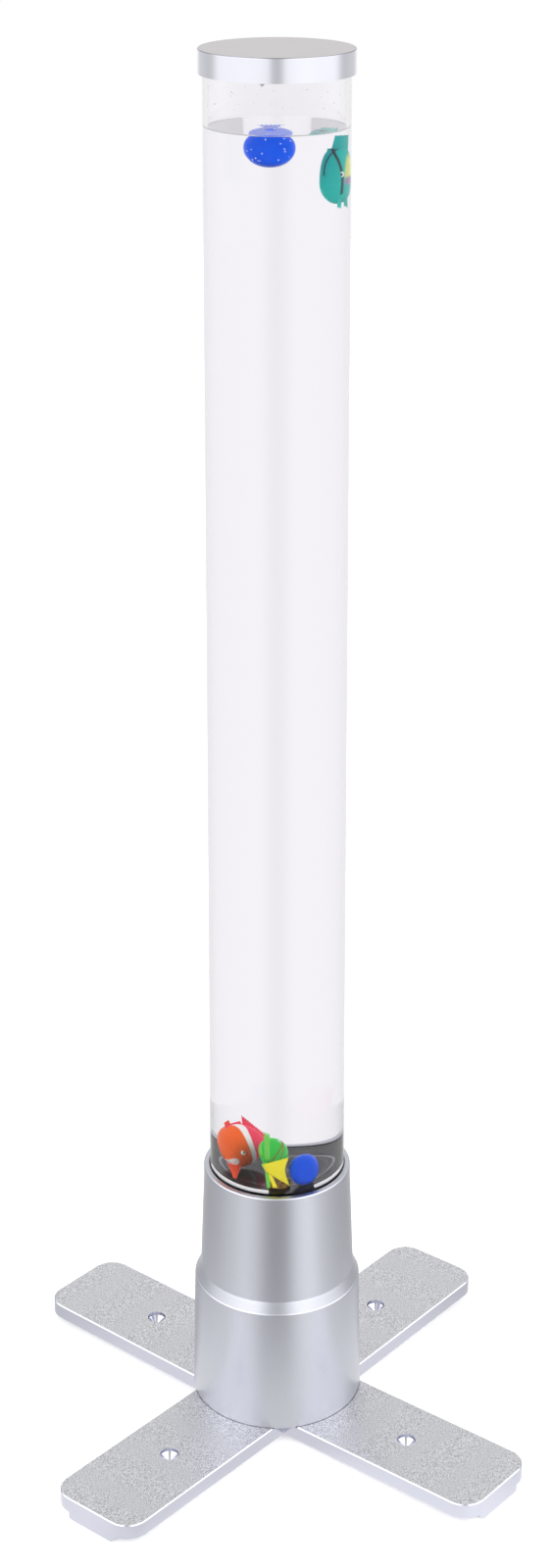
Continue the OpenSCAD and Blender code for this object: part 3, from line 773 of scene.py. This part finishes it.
class Works(DressedNodes):
    """The pump, air line, boards and wires inside the housing."""

    finishes = (
        (GREY_ABS, ("air_pump",)), (RUBBER, ("pump_feet", "tube_gasket")),
        (WHITE_ABS, ("check_valve", "air_inlet")), (SILICONE, ("air_hose",)),
        (GREEN_MASK, ("control_board",)), (WHITE_MASK, ("led_board",)), (LED_RESIN, ("leds",)),
        (RED_PVC, ("wiring",)))


class Cap(DressedNodes):
    """The cap with its liner and seal."""

    finishes = (
        (CAP_TOP_PAINT, ("cap_shell",)), (WHITE_ABS, ("cap_liner",)), (RUBBER, ("cap_seal",)))


@dataclass
class WaterColumn:
    """The clear tube, the water in it, its base disc and the air stone."""

    wall: float = 0.003
    # What is wet or cemented overlaps the wall by a hair, so that light goes straight from one to the other
    overlap: float = 0.00004
    polish: float = 0.0004
    meniscus_h: float = 0.0011
    meniscus_w: float = 0.0016
    meniscus_fall: float = 3.2
    meniscus_steps: tuple[float, ...] = (0.0, 0.12, 0.25, 0.4, 0.6, 0.85, 1.2, 1.8, 3.0)
    # The white bead's width, height and shape in shares of them, and where it shows, in degrees: a painted
    # highlight along the disc's edge, only at the front
    bead_w: float = 0.0022
    bead_h: float = 0.0018
    bead_shape: Ring = ((0.7, 0.9), (0.9, 1.0), (1.0, 0.8))
    bead_arcs: tuple[tuple[float, float], ...] = ((182, 257), (300, 352))
    # Bore without droplets, over the water and under the tube's end
    dry: tuple[float, float] = (0.004, 0.014)
    steps: int = 192

    @property
    def bore_r(self) -> float:
        """Radius of the tube's bore."""
        return TUBE_HIGH.x - self.wall

    def build(self) -> None:
        """Builds every piece of the column."""
        for piece in (self.tube, self.water, self.disc, self.edge_highlight, self.stone, self.droplets):
            piece()

    def tube(self) -> None:
        """The tube's ends have a small polished chamfer."""
        outer, inner, low, high, edge = TUBE_HIGH.x, self.bore_r, TUBE_LOW.z, TUBE_HIGH.z, self.polish
        profile = [(inner, low + edge), (inner + edge, low), (outer - edge, low), (outer, low + edge),
                   (outer, high - edge), (outer - edge, high), (inner + edge, high), (inner, high - edge)]
        tube = sharpen(lathe("clear_acrylic_tube", profile, self.steps, closed=True))
        ACRYLIC.dress(tube)
        report(tube, "tower", "acrylic_clear", "clear_tube")

    def water(self) -> None:
        """The water climbs the wall a little at its surface."""
        edge_r, foot = self.bore_r + self.overlap, DISC_Z - self.overlap
        climb = [(self.meniscus_w * step, self.meniscus_h * math.exp(-self.meniscus_fall * step))
                 for step in self.meniscus_steps]
        profile = [(0.0, foot), (edge_r, foot), *((edge_r - inward, WATER_Z + up) for inward, up in climb),
                   (self.bore_r * 0.6, WATER_Z), (0.0, WATER_Z)]
        water = sharpen(lathe("still_water_column", profile, self.steps), 60)
        WATER.dress(water)
        report(water, "tower", "water_clear", "water")

    def disc(self) -> None:
        """The disc closes the bore."""
        edge_r = self.bore_r + self.overlap
        profile = [(0.0, DISC_LOW_Z), (edge_r, DISC_LOW_Z), (edge_r, DISC_Z), (0.0, DISC_Z)]
        disc = sharpen(lathe("turned_base_disc", profile, self.steps))
        DISC.dress(disc)
        report(disc, "tower", "disc_dark", "tube_base_disc")

    def edge_highlight(self) -> None:
        """Two white stretches along the disc's edge at the front, a painted highlight where the edge catches
        light.
        """
        edge_r, foot = self.bore_r + self.overlap, DISC_Z - self.overlap
        outline = [(edge_r - x * self.bead_w, DISC_Z + z * self.bead_h) for x, z in self.bead_shape]
        profile = [(edge_r, foot), *outline, (edge_r - self.bead_w, foot)]
        bead = join("disc_edge_highlight_bead", [
            lathe("disc_edge_highlight_arc", profile, self.steps // 2, closed=True, arc=tuple(map(math.radians, arc)))
            for arc in self.bead_arcs])
        EDGE_HIGHLIGHT.dress(bead)
        report(bead, "tower", "acrylic_clear")

    def stone(self) -> None:
        """Sintered grains stand out all over the stone."""
        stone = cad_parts["air_stone"]
        STONE.dress(stone)
        grains = Beads(2.2e6, 0.35 * MM, 0.6 * MM, 5, STONE, sink=0.25 * MM, subdivisions=1)
        report(grains.on(stone, "air_stone_grains"), "tower", "stone_gold")

    def droplets(self) -> None:
        """Splashed droplets cling to the bore above the water, drawn as white beads: painted highlights in
        place of clear water.
        """
        over_water, under_end = self.dry
        profile = [(self.bore_r, TUBE_HIGH.z - under_end), (self.bore_r, WATER_Z + over_water)]
        wall = lathe("droplet_wall", profile, 48)
        drops = Beads(9000.0, 0.15 * MM, 0.5 * MM, 11, BUBBLE_GLINT, sink=0.1 * MM)
        piece = drops.on(wall, "tube_droplets")
        bpy.data.objects.remove(wall)
        report(piece, "tower", "water_clear")


# Fish


class Level(Enum):
    """Heights that a fish's place is measured from."""

    WATER = WATER_Z
    DISC = DISC_Z


@dataclass(frozen=True)
class Fin:
    """A ribbed fin, in shares of the fish's length.

    root holds the two ends of its foot and tips the outer ends opposite them. notch is the depth of the
    scallops between the ribs and fork that of the hollow in the middle, in shares of the fin's reach.
    """

    root: tuple[Point, Point]
    tips: tuple[Point, Point]
    ribs: int = 5
    notch: float = 0.12
    thick: float = 0.036
    fork: float = 0.0
    # Thickness between the ribs, how much is lost towards the tip, and the least at the sides
    web: float = 0.45
    taper: float = 0.65
    side: float = 0.35
    rib_steps: int = 6
    out_steps: int = 8

    def grid(self) -> list[Vector]:
        """Works out the fin's points.

        Returns:
            Points of the front and then of the back, in rows from one end of the foot to the other.
        """
        root = [Vector(p) for p in self.root]
        tips = [Vector(p) for p in self.tips]
        normal = (root[1] - root[0]).cross(tips[0] - root[0]).normalized()
        across = self.ribs * self.rib_steps
        front, back = [], []
        for row in range(self.out_steps + 1):
            v = row / self.out_steps
            for column in range(across + 1):
                u = column / across
                rib = abs(math.cos(math.pi * self.ribs * u))
                hollow = self.notch * (1 - rib) + self.fork * math.sin(math.pi * u)
                spot = root[0].lerp(root[1], u).lerp(tips[0].lerp(tips[1], u), v * (1 - hollow * v))
                half = (self.thick / 2 * (self.web + (1 - self.web) * rib) * (1 - self.taper * v)
                        * min(1.0, self.rib_steps * min(u, 1 - u) + self.side))
                front.append(spot + normal * half)
                back.append(spot - normal * half)
        return front + back

    def faces(self) -> list[list[int]]:
        """Works out the faces between those points.

        Returns:
            Faces of the front, the back and the rim round them.
        """
        across, out = self.ribs * self.rib_steps, self.out_steps
        width = across + 1
        count = width * (out + 1)
        faces: list[list[int]] = []
        for row in range(out):
            for a in range(row * width, row * width + across):
                faces.append([a, a + 1, a + width + 1, a + width])
                faces.append([count + a, count + a + width, count + a + width + 1, count + a + 1])
        rim = [*range(width), *(row * width + across for row in range(1, out + 1)),
               *(out * width + column for column in reversed(range(across))),
               *(row * width for row in reversed(range(1, out)))]
        faces += [[b, a, count + a, count + b] for a, b in zip(rim, rim[1:] + rim[:1])]
        return faces


@dataclass
class ToyFish:
    """One moulded fish with its fins, tail and eyes.

    scale is its length in shares of FISH_LEN. share is its place, across in shares of BORE_R and up from the
    level in shares of FISH_LEN, and degrees is its turn. The rest is in shares of its own length.
    """

    node: str
    slot: str
    scale: float
    share: Point
    degrees: Point
    level: Level
    body: PaintedVinyl
    fins: tuple[tuple[PaintedVinyl, tuple[Fin, ...]], ...] = ()
    eye: Point | None = (0.31, 0.0, 0.05)
    # Half height and half thickness, where the trunk reaches them, and how it slims towards the tail
    deep: float = 0.29
    thick: float = 0.197
    middle: float = 0.54
    slim: float = 1.25
    # The tail's stalk: its height, what it loses along the trunk, and its thickness, in shares of the trunk's
    stalk: float = 0.2
    stalk_fall: float = 0.64
    stalk_flat: float = 0.6
    # How far the trunk's middle bulges past its ends, in shares of its half thickness and half height
    bulge: tuple[float, float] = (0.0, 0.0)
    trunk_x: tuple[float, float] = (-0.44, 0.5)
    least_half: float = 0.004
    roundness: float = 0.92
    gill: float = 0.012
    gill_span: tuple[float, float] = (0.66, 0.70)
    # Radius and rise of an eye, those of its pupil, and how deep they sit in the trunk
    eye_r: float = 0.034
    eye_rise: float = 0.010
    pupil_share: float = 0.56
    pupil_rise: float = 0.017
    eye_sink: float = 0.012
    rings: int = 44
    sides: int = 40
    bubbles: int = 0

    def __post_init__(self) -> None:
        """Works out where the fish's own axes, with its nose towards +X, are in the frame."""
        x, y, up = self.share
        self.at = {"place": (x * BORE_R, y * BORE_R, self.level.value + up * FISH_LEN),
                   "turn": tuple(math.radians(a) for a in self.degrees), "length": self.scale * FISH_LEN}

    def placed(self, name: str, finish: Finish, points: Sequence[Sequence[float]],
               faces: Sequence[Sequence[int]]) -> Piece:
        """Makes one part of the fish.

        Args:
            name: The part's name.
            finish: The part's finish.
            points: Points in the fish's own axes, in shares of its length.
            faces: Vertex numbers of each face, turning outwards.

        Returns:
            The part in its place.
        """
        world = (Matrix.Translation(Vector(self.at["place"]))
                 @ Euler(self.at["turn"]).to_matrix().to_4x4() @ Matrix.Scale(self.at["length"], 4))
        piece = mesh_piece(f"{self.node}_{name}", np.array([world @ Vector(p) for p in points]), faces)
        finish.dress(piece)
        return piece

    def build(self) -> None:
        """Builds the fish's body and fins as one piece, its eyes and its bubbles."""
        pieces = [self.trunk()]
        for finish, fins in self.fins:
            vinyl = replace(finish, **self.at)
            pieces += [self.placed(f"fin_{index}", vinyl, fin.grid(), fin.faces())
                       for index, fin in enumerate(fins, len(pieces) - 1)]
        whole = join(f"{self.node}_moulding", pieces)
        report(whole, self.node, self.slot, self.node)
        if self.eye:
            report(self.eyes(), self.node, self.slot)
        if self.bubbles:
            # The bubbles are white beads, painted highlights in place of clear air
            beads = Beads(self.bubbles, 0.3 * MM, 0.5 * MM, 3, BUBBLE_GLINT)
            report(beads.on(whole, f"{self.node}_bubbles"), self.node, "water_clear")

    def section(self, along: float) -> tuple[float, float]:
        """Works out the trunk's size at one place.

        Args:
            along: The place, from the tail (0) to the nose (1).

        Returns:
            Half height and half thickness.
        """
        away = (along - self.middle) / (1 - self.middle if along > self.middle else self.middle)
        swell = math.sqrt(max(0.0, 1 - away * away)) ** (1.0 if away > 0 else self.slim)
        root = max(0.0, self.stalk - self.stalk_fall * along)
        return self.deep * max(swell, root), self.thick * max(swell, root * self.stalk_flat)

    def trunk(self) -> Piece:
        """The body swells behind the head and draws in at the tail's root.

        Returns:
            The trunk.
        """
        points, rows = [], []
        tail_x, nose_x = self.trunk_x
        for ring in range(self.rings + 1):
            along = 0.5 - 0.5 * math.cos(math.pi * ring / self.rings)
            half_z, half_y = (max(half, self.least_half) for half in self.section(along))
            gill = self.gill if self.gill_span[0] < along < self.gill_span[1] else 0.0
            rows.append(list(range(len(points), len(points) + self.sides)))
            for i in range(self.sides):
                angle = TURN * i / self.sides
                y, z = math.cos(angle), math.sin(angle)
                out = (half_y + gill * abs(y)) * math.copysign(abs(y) ** self.roundness, y)
                points.append((tail_x + (nose_x - tail_x) * along, out + self.bulge[0] * half_y,
                               half_z * (z + self.bulge[1])))
        faces = [rows[0][::-1], rows[-1]]
        for low, high in zip(rows, rows[1:]):
            for i in range(self.sides):
                j = (i + 1) % self.sides
                faces.append([low[i], low[j], high[j], high[i]])
        return self.placed("trunk", replace(self.body, **self.at), points, faces)

    def eyes(self) -> Piece:
        """Each eye is a white button with a black pupil.

        Returns:
            Both eyes as one piece.
        """
        x, _, z = self.eye
        tail_x, nose_x = self.trunk_x
        half_z, half_y = self.section((x - tail_x) / (nose_x - tail_x))
        half_y *= math.sqrt(max(0.05, 1 - (z / half_z - self.bulge[1]) ** 2))
        buttons = []
        for side in (-1, 1):
            for radius, rise, finish in ((self.eye_r, self.eye_rise, EYE_WHITE),
                                         (self.eye_r * self.pupil_share, self.pupil_rise, EYE_BLACK)):
                points, faces = dome(radius, rise)
                turned = [(x + a, side * (half_y - self.eye_sink + c), z + side * b) for a, b, c in points]
                if side > 0:
                    faces = [face[::-1] for face in faces]
                buttons.append(self.placed("eye", finish, turned, faces))
        return join(f"{self.node}_eyes", buttons)


def dome(radius: float, rise: float, foot: tuple[float, float] = (-0.01, 0.012),
         steps: int = 20, rings: int = 5) -> tuple[list[Point], list[list[int]]]:
    """Works out a low dome on a round foot, with its top towards +Z.

    Args:
        radius: The foot's and the dome's radius.
        rise: How far the dome stands up from the foot.
        foot: The foot's lower and upper height.
        steps: Points round it.
        rings: Rings of points up the dome.

    Returns:
        Points and faces.
    """
    low_z, high_z = foot
    levels = [(radius * math.cos(angle), rise * math.sin(angle) + high_z)
              for angle in (math.pi / 2 * ring / (rings + 1) for ring in range(rings + 1))]
    points = [(r * math.cos(TURN * i / steps), r * math.sin(TURN * i / steps), height)
              for r, height in (*levels, (radius, low_z)) for i in range(steps)]
    low, top = len(levels) * steps, len(points)
    points.append((0.0, 0.0, rise + high_z))
    faces = []
    for i in range(steps):
        j = (i + 1) % steps
        faces.append([low + i, low + j, j, i])
        faces += [[a + i, a + j, a + steps + j, a + steps + i] for a in range(0, rings * steps, steps)]
        faces.append([rings * steps + i, rings * steps + j, top])
    faces.append([low + i for i in reversed(range(steps))])
    return points, faces


SLIM_TAIL = Fin(((-0.4, 0, 0.06), (-0.4, 0, -0.06)), ((-0.7, 0, 0.22), (-0.7, 0, -0.22)), 6, 0.3)
BACK_FIN = Fin(((0.2, 0, 0.22), (-0.26, 0, 0.16)), ((0.1, 0, 0.31), (-0.32, 0, 0.31)), 8, 0.24)
BELLY_FIN = Fin(((0.06, 0, -0.22), (-0.12, 0, -0.2)), ((-0.02, 0, -0.33), (-0.14, 0, -0.33)), 4)
TEAL_FINS = (
    Fin(((-0.34, 0, 0.23), (-0.34, 0, -0.11)), ((-0.66, 0, 0.25), (-0.66, 0, -0.03)), 3, 0.03),
    Fin(((0.31, -0.1, 0.06), (0.33, -0.08, 0.14)), ((0.55, -0.14, 0.09), (0.57, -0.12, 0.15)), 3),
    Fin(((0.33, -0.03, 0.14), (0.32, 0, 0.22)), ((0.55, -0.03, 0.16), (0.58, 0, 0.24)), 3))
PINK_FINS = (
    Fin(((-0.36, 0, 0.14), (-0.36, 0, -0.12)), ((-0.56, 0, 0.31), (-0.6, 0, -0.22)), 14, 0.135),
    Fin(((0, 0, 0.24), (-0.36, 0, 0.12)), ((-0.06, 0, 0.365), (-0.44, 0, 0.26)), 11, 0.09))
ORANGE_FINS = (
    BELLY_FIN,
    Fin(((0.42, -0.1, -0.08), (0.3, 0.06, -0.22)), ((0.88, 0.13, -0.18), (0.84, 0.15, -0.22)), 3, thick=0.06),
    Fin(((0, 0, 0.26), (-0.16, 0, 0.25)), ((-0.16, -0.04, 0.36), (-0.3, -0.03, 0.35))))
# The green fish's tail is bent round to the front and its fins stand up and down from it
GREEN_FINS = (
    Fin(((-0.36, 0.02, 0.09), (-0.36, 0, -0.07)), ((-0.6, -0.01, 0.2), (-0.62, 0.05, -0.02)), 3, 0.0),
    Fin(((-0.4, -0.02, 0.14), (-0.38, -0.06, 0.05)), ((-0.27, -0.49, 0.69), (-0.25, -0.54, 0.58)), 4),
    Fin(((-0.56, 0.05, 0.04), (-0.54, 0.02, -0.04)), ((-0.84, 0.23, -0.27), (-0.81, 0.17, -0.3)), 4),
    BACK_FIN)
YELLOW_FINS = (
    Fin(((-0.58, -0.01, 0.17), (-0.61, 0.05, -0.01)), ((-0.49, -0.53, -0.04), (-0.7, -0.12, -0.55)), 9, 0.03,
        fork=0.16),
    Fin(((-0.6, 0.06, -0.06), (-0.59, 0.02, -0.12)), ((-0.78, 0.15, -0.35), (-0.76, 0.08, -0.42)), 4))

BLUE_FLOATING = PaintedVinyl("blue_vinyl_floating", "#0C5CF4", gloss=0.1)
BLUE_SUNK = PaintedVinyl("blue_vinyl_sunk", "#0854E4", gloss=0.1)
TEAL = PaintedVinyl("teal_vinyl", "#10C6B8", gloss=0.12, bands=(
    Band("#E6EE84", (-0.2, 0.31), 0.06, side=(0, 1), soft=0.02, until=0.05),
    Band("#2B3A44", (0.1, -0.506), 0.022, radius=0.712, until=0.32),
    Band("#2B3A44", (-0.066, 0.366), 0.014, radius=0.494, until=0.0),
    Band("#A58FB4", (0.1, 0.31), 0.035, radius=0.03, soft=0.02)))
# A pink rear, a white collar and a white cheek
ORANGE = PaintedVinyl("orange_vinyl", "#FA6412", gloss=0.12, scale_share=0.05, bands=(
    Band("#F23C5A", (-0.56, -0.345), 0.345, radius=0.345),
    Band("#F8F4F2", (-0.56, -0.345), 0.055, radius=0.68),
    Band("#F8F4F2", (0.49, -0.09), 0.045, radius=0.04)))
GREEN = PaintedVinyl("green_vinyl", "#3CC24A", gloss=0.12, bands=(
    Band("#8E4A2C", (-0.08, 0.015), 0.012, side=(0.06, 1)),
    Band("#8E4A2C", (-0.03, -0.075), 0.012, side=(0.17, -1))))


class School:
    """All five fish. Scale, share and degrees repeat the CAD source's table."""

    fish = (
        ToyFish(
            "fish_blue_floating", "fish_blue", 1.06, (-0.118, -0.290, -0.337), (90, 8, 264.5), Level.WATER,
            BLUE_FLOATING, ((BLUE_FLOATING, (SLIM_TAIL,)),), eye=None, deep=0.325, thick=0.25,
            bulge=(0.33, 0.0), bubbles=26000),
        ToyFish(
            "fish_teal_floating", "fish_teal", 0.94, (0.665, -0.084, -0.742), (0, 90, -19.5), Level.WATER,
            TEAL, ((PaintedVinyl("teal_vinyl_fins", "#24CCBE"), TEAL_FINS),), eye=(-0.02, 0.0, 0.19),
            middle=0.6, slim=0.55, stalk=0.6, bulge=(0.0, 0.14), eye_r=0.05),
        ToyFish(
            "fish_orange_sunk", "fish_orange", 0.98, (-0.389, 0.206, 0.380), (27, 16.5, 234.5), Level.DISC,
            ORANGE, ((PaintedVinyl("orange_vinyl_fins", "#F6480C"), ORANGE_FINS),
                     (PaintedVinyl("pink_vinyl_fins", "#F23C5A"), PINK_FINS)),
            eye=(0.27, 0.0, -0.01), deep=0.33, thick=0.21, slim=0.55, stalk=0.4, eye_r=0.042),
        ToyFish(
            "fish_green_sunk", "fish_green", 0.80, (-0.092, -0.344, 0.480), (-41.5, -15.5, 74.5), Level.DISC,
            GREEN, ((PaintedVinyl("green_vinyl_fins", "#7FD95E"), GREEN_FINS),
                    (PaintedVinyl("yellow_vinyl_tail", "#FFF23C"), YELLOW_FINS))),
        ToyFish(
            "fish_blue_sunk", "fish_blue", 0.78, (0.310, -0.590, 0.270), (20, 1, 256), Level.DISC,
            BLUE_SUNK, eye=None, deep=0.35, thick=0.275, bulge=(0.13, 0.0)))

    def build(self) -> None:
        """Builds the two fish at the surface and the three on the disc."""
        for fish in self.fish:
            fish.build()


# Stage


@dataclass
class Stage:
    """The floor, the soft studio round the lamp, its lights and the camera."""

    ambient: float = 0.62
    # Brightness that gloss sees, by share of a turn anticlockwise from the camera: low, high and on the floor
    low_studio: Ring = (
        (0.0, 0.55), (0.014, 0.62), (0.036, 1.1), (0.25, 1.12), (0.31, 0.62), (0.4, 0.7), (0.46, 1.0),
        (0.54, 1.0), (0.6, 0.7), (0.69, 0.62), (0.75, 1.08), (0.964, 1.08), (0.986, 0.6), (1.0, 0.55))
    high_studio: Ring = (
        (0.0, 0.4), (0.025, 0.5), (0.075, 2.6), (0.27, 2.4), (0.36, 1.0), (0.5, 0.95), (0.64, 1.0),
        (0.73, 2.4), (0.925, 2.6), (0.975, 0.5), (1.0, 0.4))
    floor_studio: Ring = (
        (0.0, 0.45), (0.03, 0.5), (0.085, 1.2), (0.12, 1.35), (0.2, 0.87), (0.27, 0.68), (0.36, 0.6),
        (0.44, 0.9), (0.56, 0.9), (0.64, 0.6), (0.73, 0.68), (0.8, 0.87), (0.88, 1.15), (0.915, 1.0),
        (0.97, 0.5), (1.0, 0.45))
    # What shows through the tube
    backdrop: Ring = ((0.0, 1.0), (0.48, 1.0), (0.5, 0.93), (0.52, 1.0), (1.0, 1.0))
    # How far up the low studio goes over into the high one, and where and how much that dims overhead
    high_from: tuple[float, float] = (0.15, 0.4)
    overhead_from: tuple[float, float] = (0.88, 0.97)
    overhead_dim: float = 0.45
    floor_r: float = 4.0
    floor_t: float = 0.002
    floor_grey: float = 0.8
    # The floor's own glow to the camera, and the radii over which it grows
    floor_glow: tuple[float, float] = (0.32, 1.2)
    floor_glow_r: tuple[float, float] = (0.25, 1.4)
    # The floor by the lamp: its brightness, its share and the radii over which that share runs out
    near_floor: float = 1.2
    near_backdrop: float = 0.8
    near_share: float = 0.7
    near_r: tuple[float, float] = (0.12, 0.26)
    lamp_w: float = 42.0
    # Name, turn from the camera in degrees, height and share of the power
    softboxes: tuple[tuple[str, float, float, float], ...] = (
        ("left_softbox", -52, 1.5, 1.0), ("right_softbox", 52, 1.5, 1.15),
        ("overhead_softbox", 180, 2.6, 0.8))
    softbox_size: tuple[float, float] = (1.6, 1.8)
    softbox_away: float = 2.0
    aim_z: float = 0.35

    def build(self) -> None:
        """Builds the stage."""
        for part in (self.camera, self.world, self.floor, self.lamps):
            part()

    def camera(self) -> None:
        """Sets the camera where the photograph was taken from."""
        data = bpy.data.cameras.new("photo_camera")
        data.sensor_fit = "VERTICAL"
        data.sensor_height = SENSOR_MM
        data.lens = SENSOR_MM * FOCAL_PX / FRAME_H
        data.shift_x = (FRAME_W / 2 - PRINCIPAL_PX[0]) / FRAME_H
        data.shift_y = (PRINCIPAL_PX[1] - FRAME_H / 2) / FRAME_H
        camera = add_object("photo_camera", data)
        camera.location = CAMERA_AT
        camera.rotation_euler = (math.pi / 2 - CAMERA_DIP, 0.0, CAMERA_AZIMUTH + math.pi / 2)
        bpy.context.scene.camera = camera

    @staticmethod
    def round_about(tree: Tree, vector: Socket) -> Socket:
        """Works out which way round the lamp something is.

        Args:
            tree: The shader tree.
            vector: Directions or places, seen from the lamp's axis.

        Returns:
            The share of a turn, anticlockwise from where the photograph was taken.
        """
        angle = arithmetic(tree, "ARCTAN2", part_of(tree, vector, "Y"), part_of(tree, vector, "X"))
        turned = arithmetic(tree, "SUBTRACT", angle, CAMERA_AZIMUTH - TURN)
        return arithmetic(tree, "FRACT", arithmetic(tree, "DIVIDE", turned, TURN))

    def world(self) -> None:
        """White to the camera, a soft studio to gloss, a plain backdrop to glass, and else even light."""
        world = bpy.data.worlds.new("soft_studio")
        tree = emptied(world)
        rays = add_node(tree, "ShaderNodeLightPath").outputs
        way = add_node(tree, "ShaderNodeTexCoord").outputs["Generated"]
        share, rise = self.round_about(tree, way), part_of(tree, way, "Z")
        studio = blend_colour(tree, shade_range(tree, rise, 0.0, 1.0, *self.high_from),
                              ramp(tree, share, self.low_studio), ramp(tree, share, self.high_studio))
        studio = vector_maths(tree, "MULTIPLY", studio,
                              shade_range(tree, rise, 1.0, self.overhead_dim, *self.overhead_from))
        level: object = grey(self.ambient)
        backdrop = ramp(tree, share, self.backdrop)
        for ray, seen in (("Glossy", studio), ("Transmission", backdrop), ("Camera", grey(1.0))):
            level = blend_colour(tree, rays[f"Is {ray} Ray"], level, seen)
        back = add_node(tree, "ShaderNodeBackground", inputs={"Color": level, "Strength": 1.0})
        add_node(tree, "ShaderNodeOutputWorld", inputs={"Surface": back.outputs[0]})
        bpy.context.scene.world = world

    def floor(self) -> None:
        """A pale floor that keeps the lamp's soft shadow and goes over into the white behind it."""
        profile = [(0.0, -self.floor_t), (self.floor_r, -self.floor_t), (self.floor_r, 0.0), (0.0, 0.0)]
        floor = lathe("studio_floor", profile, 96)
        material = bpy.data.materials.new("pale_floor")
        tree = emptied(material)
        rays = add_node(tree, "ShaderNodeLightPath").outputs
        share, radius = self.round_about(tree, object_place(tree)), axis_distance(tree)
        near = shade_range(tree, radius, self.near_share, 0.0, *self.near_r)
        matt = add_node(tree, "ShaderNodeBsdfDiffuse", inputs={"Color": grey(self.floor_grey)})
        glow = arithmetic(tree, "MULTIPLY", rays["Is Camera Ray"],
                          shade_range(tree, radius, *self.floor_glow, *self.floor_glow_r))
        seen = add_node(tree, "ShaderNodeAddShader", inputs={
            0: matt.outputs[0], 1: emission(tree, grey(1.0), glow)}).outputs[0]
        for ray, ring, bright in (("Glossy", self.floor_studio, self.near_floor),
                                  ("Transmission", self.backdrop, self.near_backdrop)):
            level = blend_colour(tree, near, ramp(tree, share, ring), grey(bright))
            seen = mix_shader(tree, rays[f"Is {ray} Ray"], seen, emission(tree, level))
        add_node(tree, "ShaderNodeOutputMaterial", inputs={"Surface": seen})
        floor.data.materials.append(material)

    def lamps(self) -> None:
        """Two large soft lamps either side of the camera and one overhead."""
        for name, turn, height, share in self.softboxes:
            data = bpy.data.lights.new(name, "AREA")
            data.shape = "RECTANGLE"
            data.size, data.size_y = self.softbox_size
            data.energy = self.lamp_w * share
            lamp = add_object(name, data)
            angle = CAMERA_AZIMUTH + math.radians(turn)
            lamp.location = (self.softbox_away * math.cos(angle), self.softbox_away * math.sin(angle), height)
            aim = Vector((0, 0, self.aim_z)) - lamp.location
            lamp.rotation_euler = aim.to_track_quat("-Z", "Y").to_euler()
            lamp.visible_glossy = lamp.visible_transmission = lamp.visible_camera = False


def main() -> None:
    """Builds the stage, then each sub-assembly in order."""
    logging.basicConfig(level=logging.INFO, format="%(message)s", force=True)
    bpy.context.scene.view_settings.view_transform = "Standard"
    Stage().build()
    for assembly in (Legs(), Housing(), Works(), WaterColumn(), School(), Cap()):
        assembly.build()


if __name__ == "__main__":
    main()
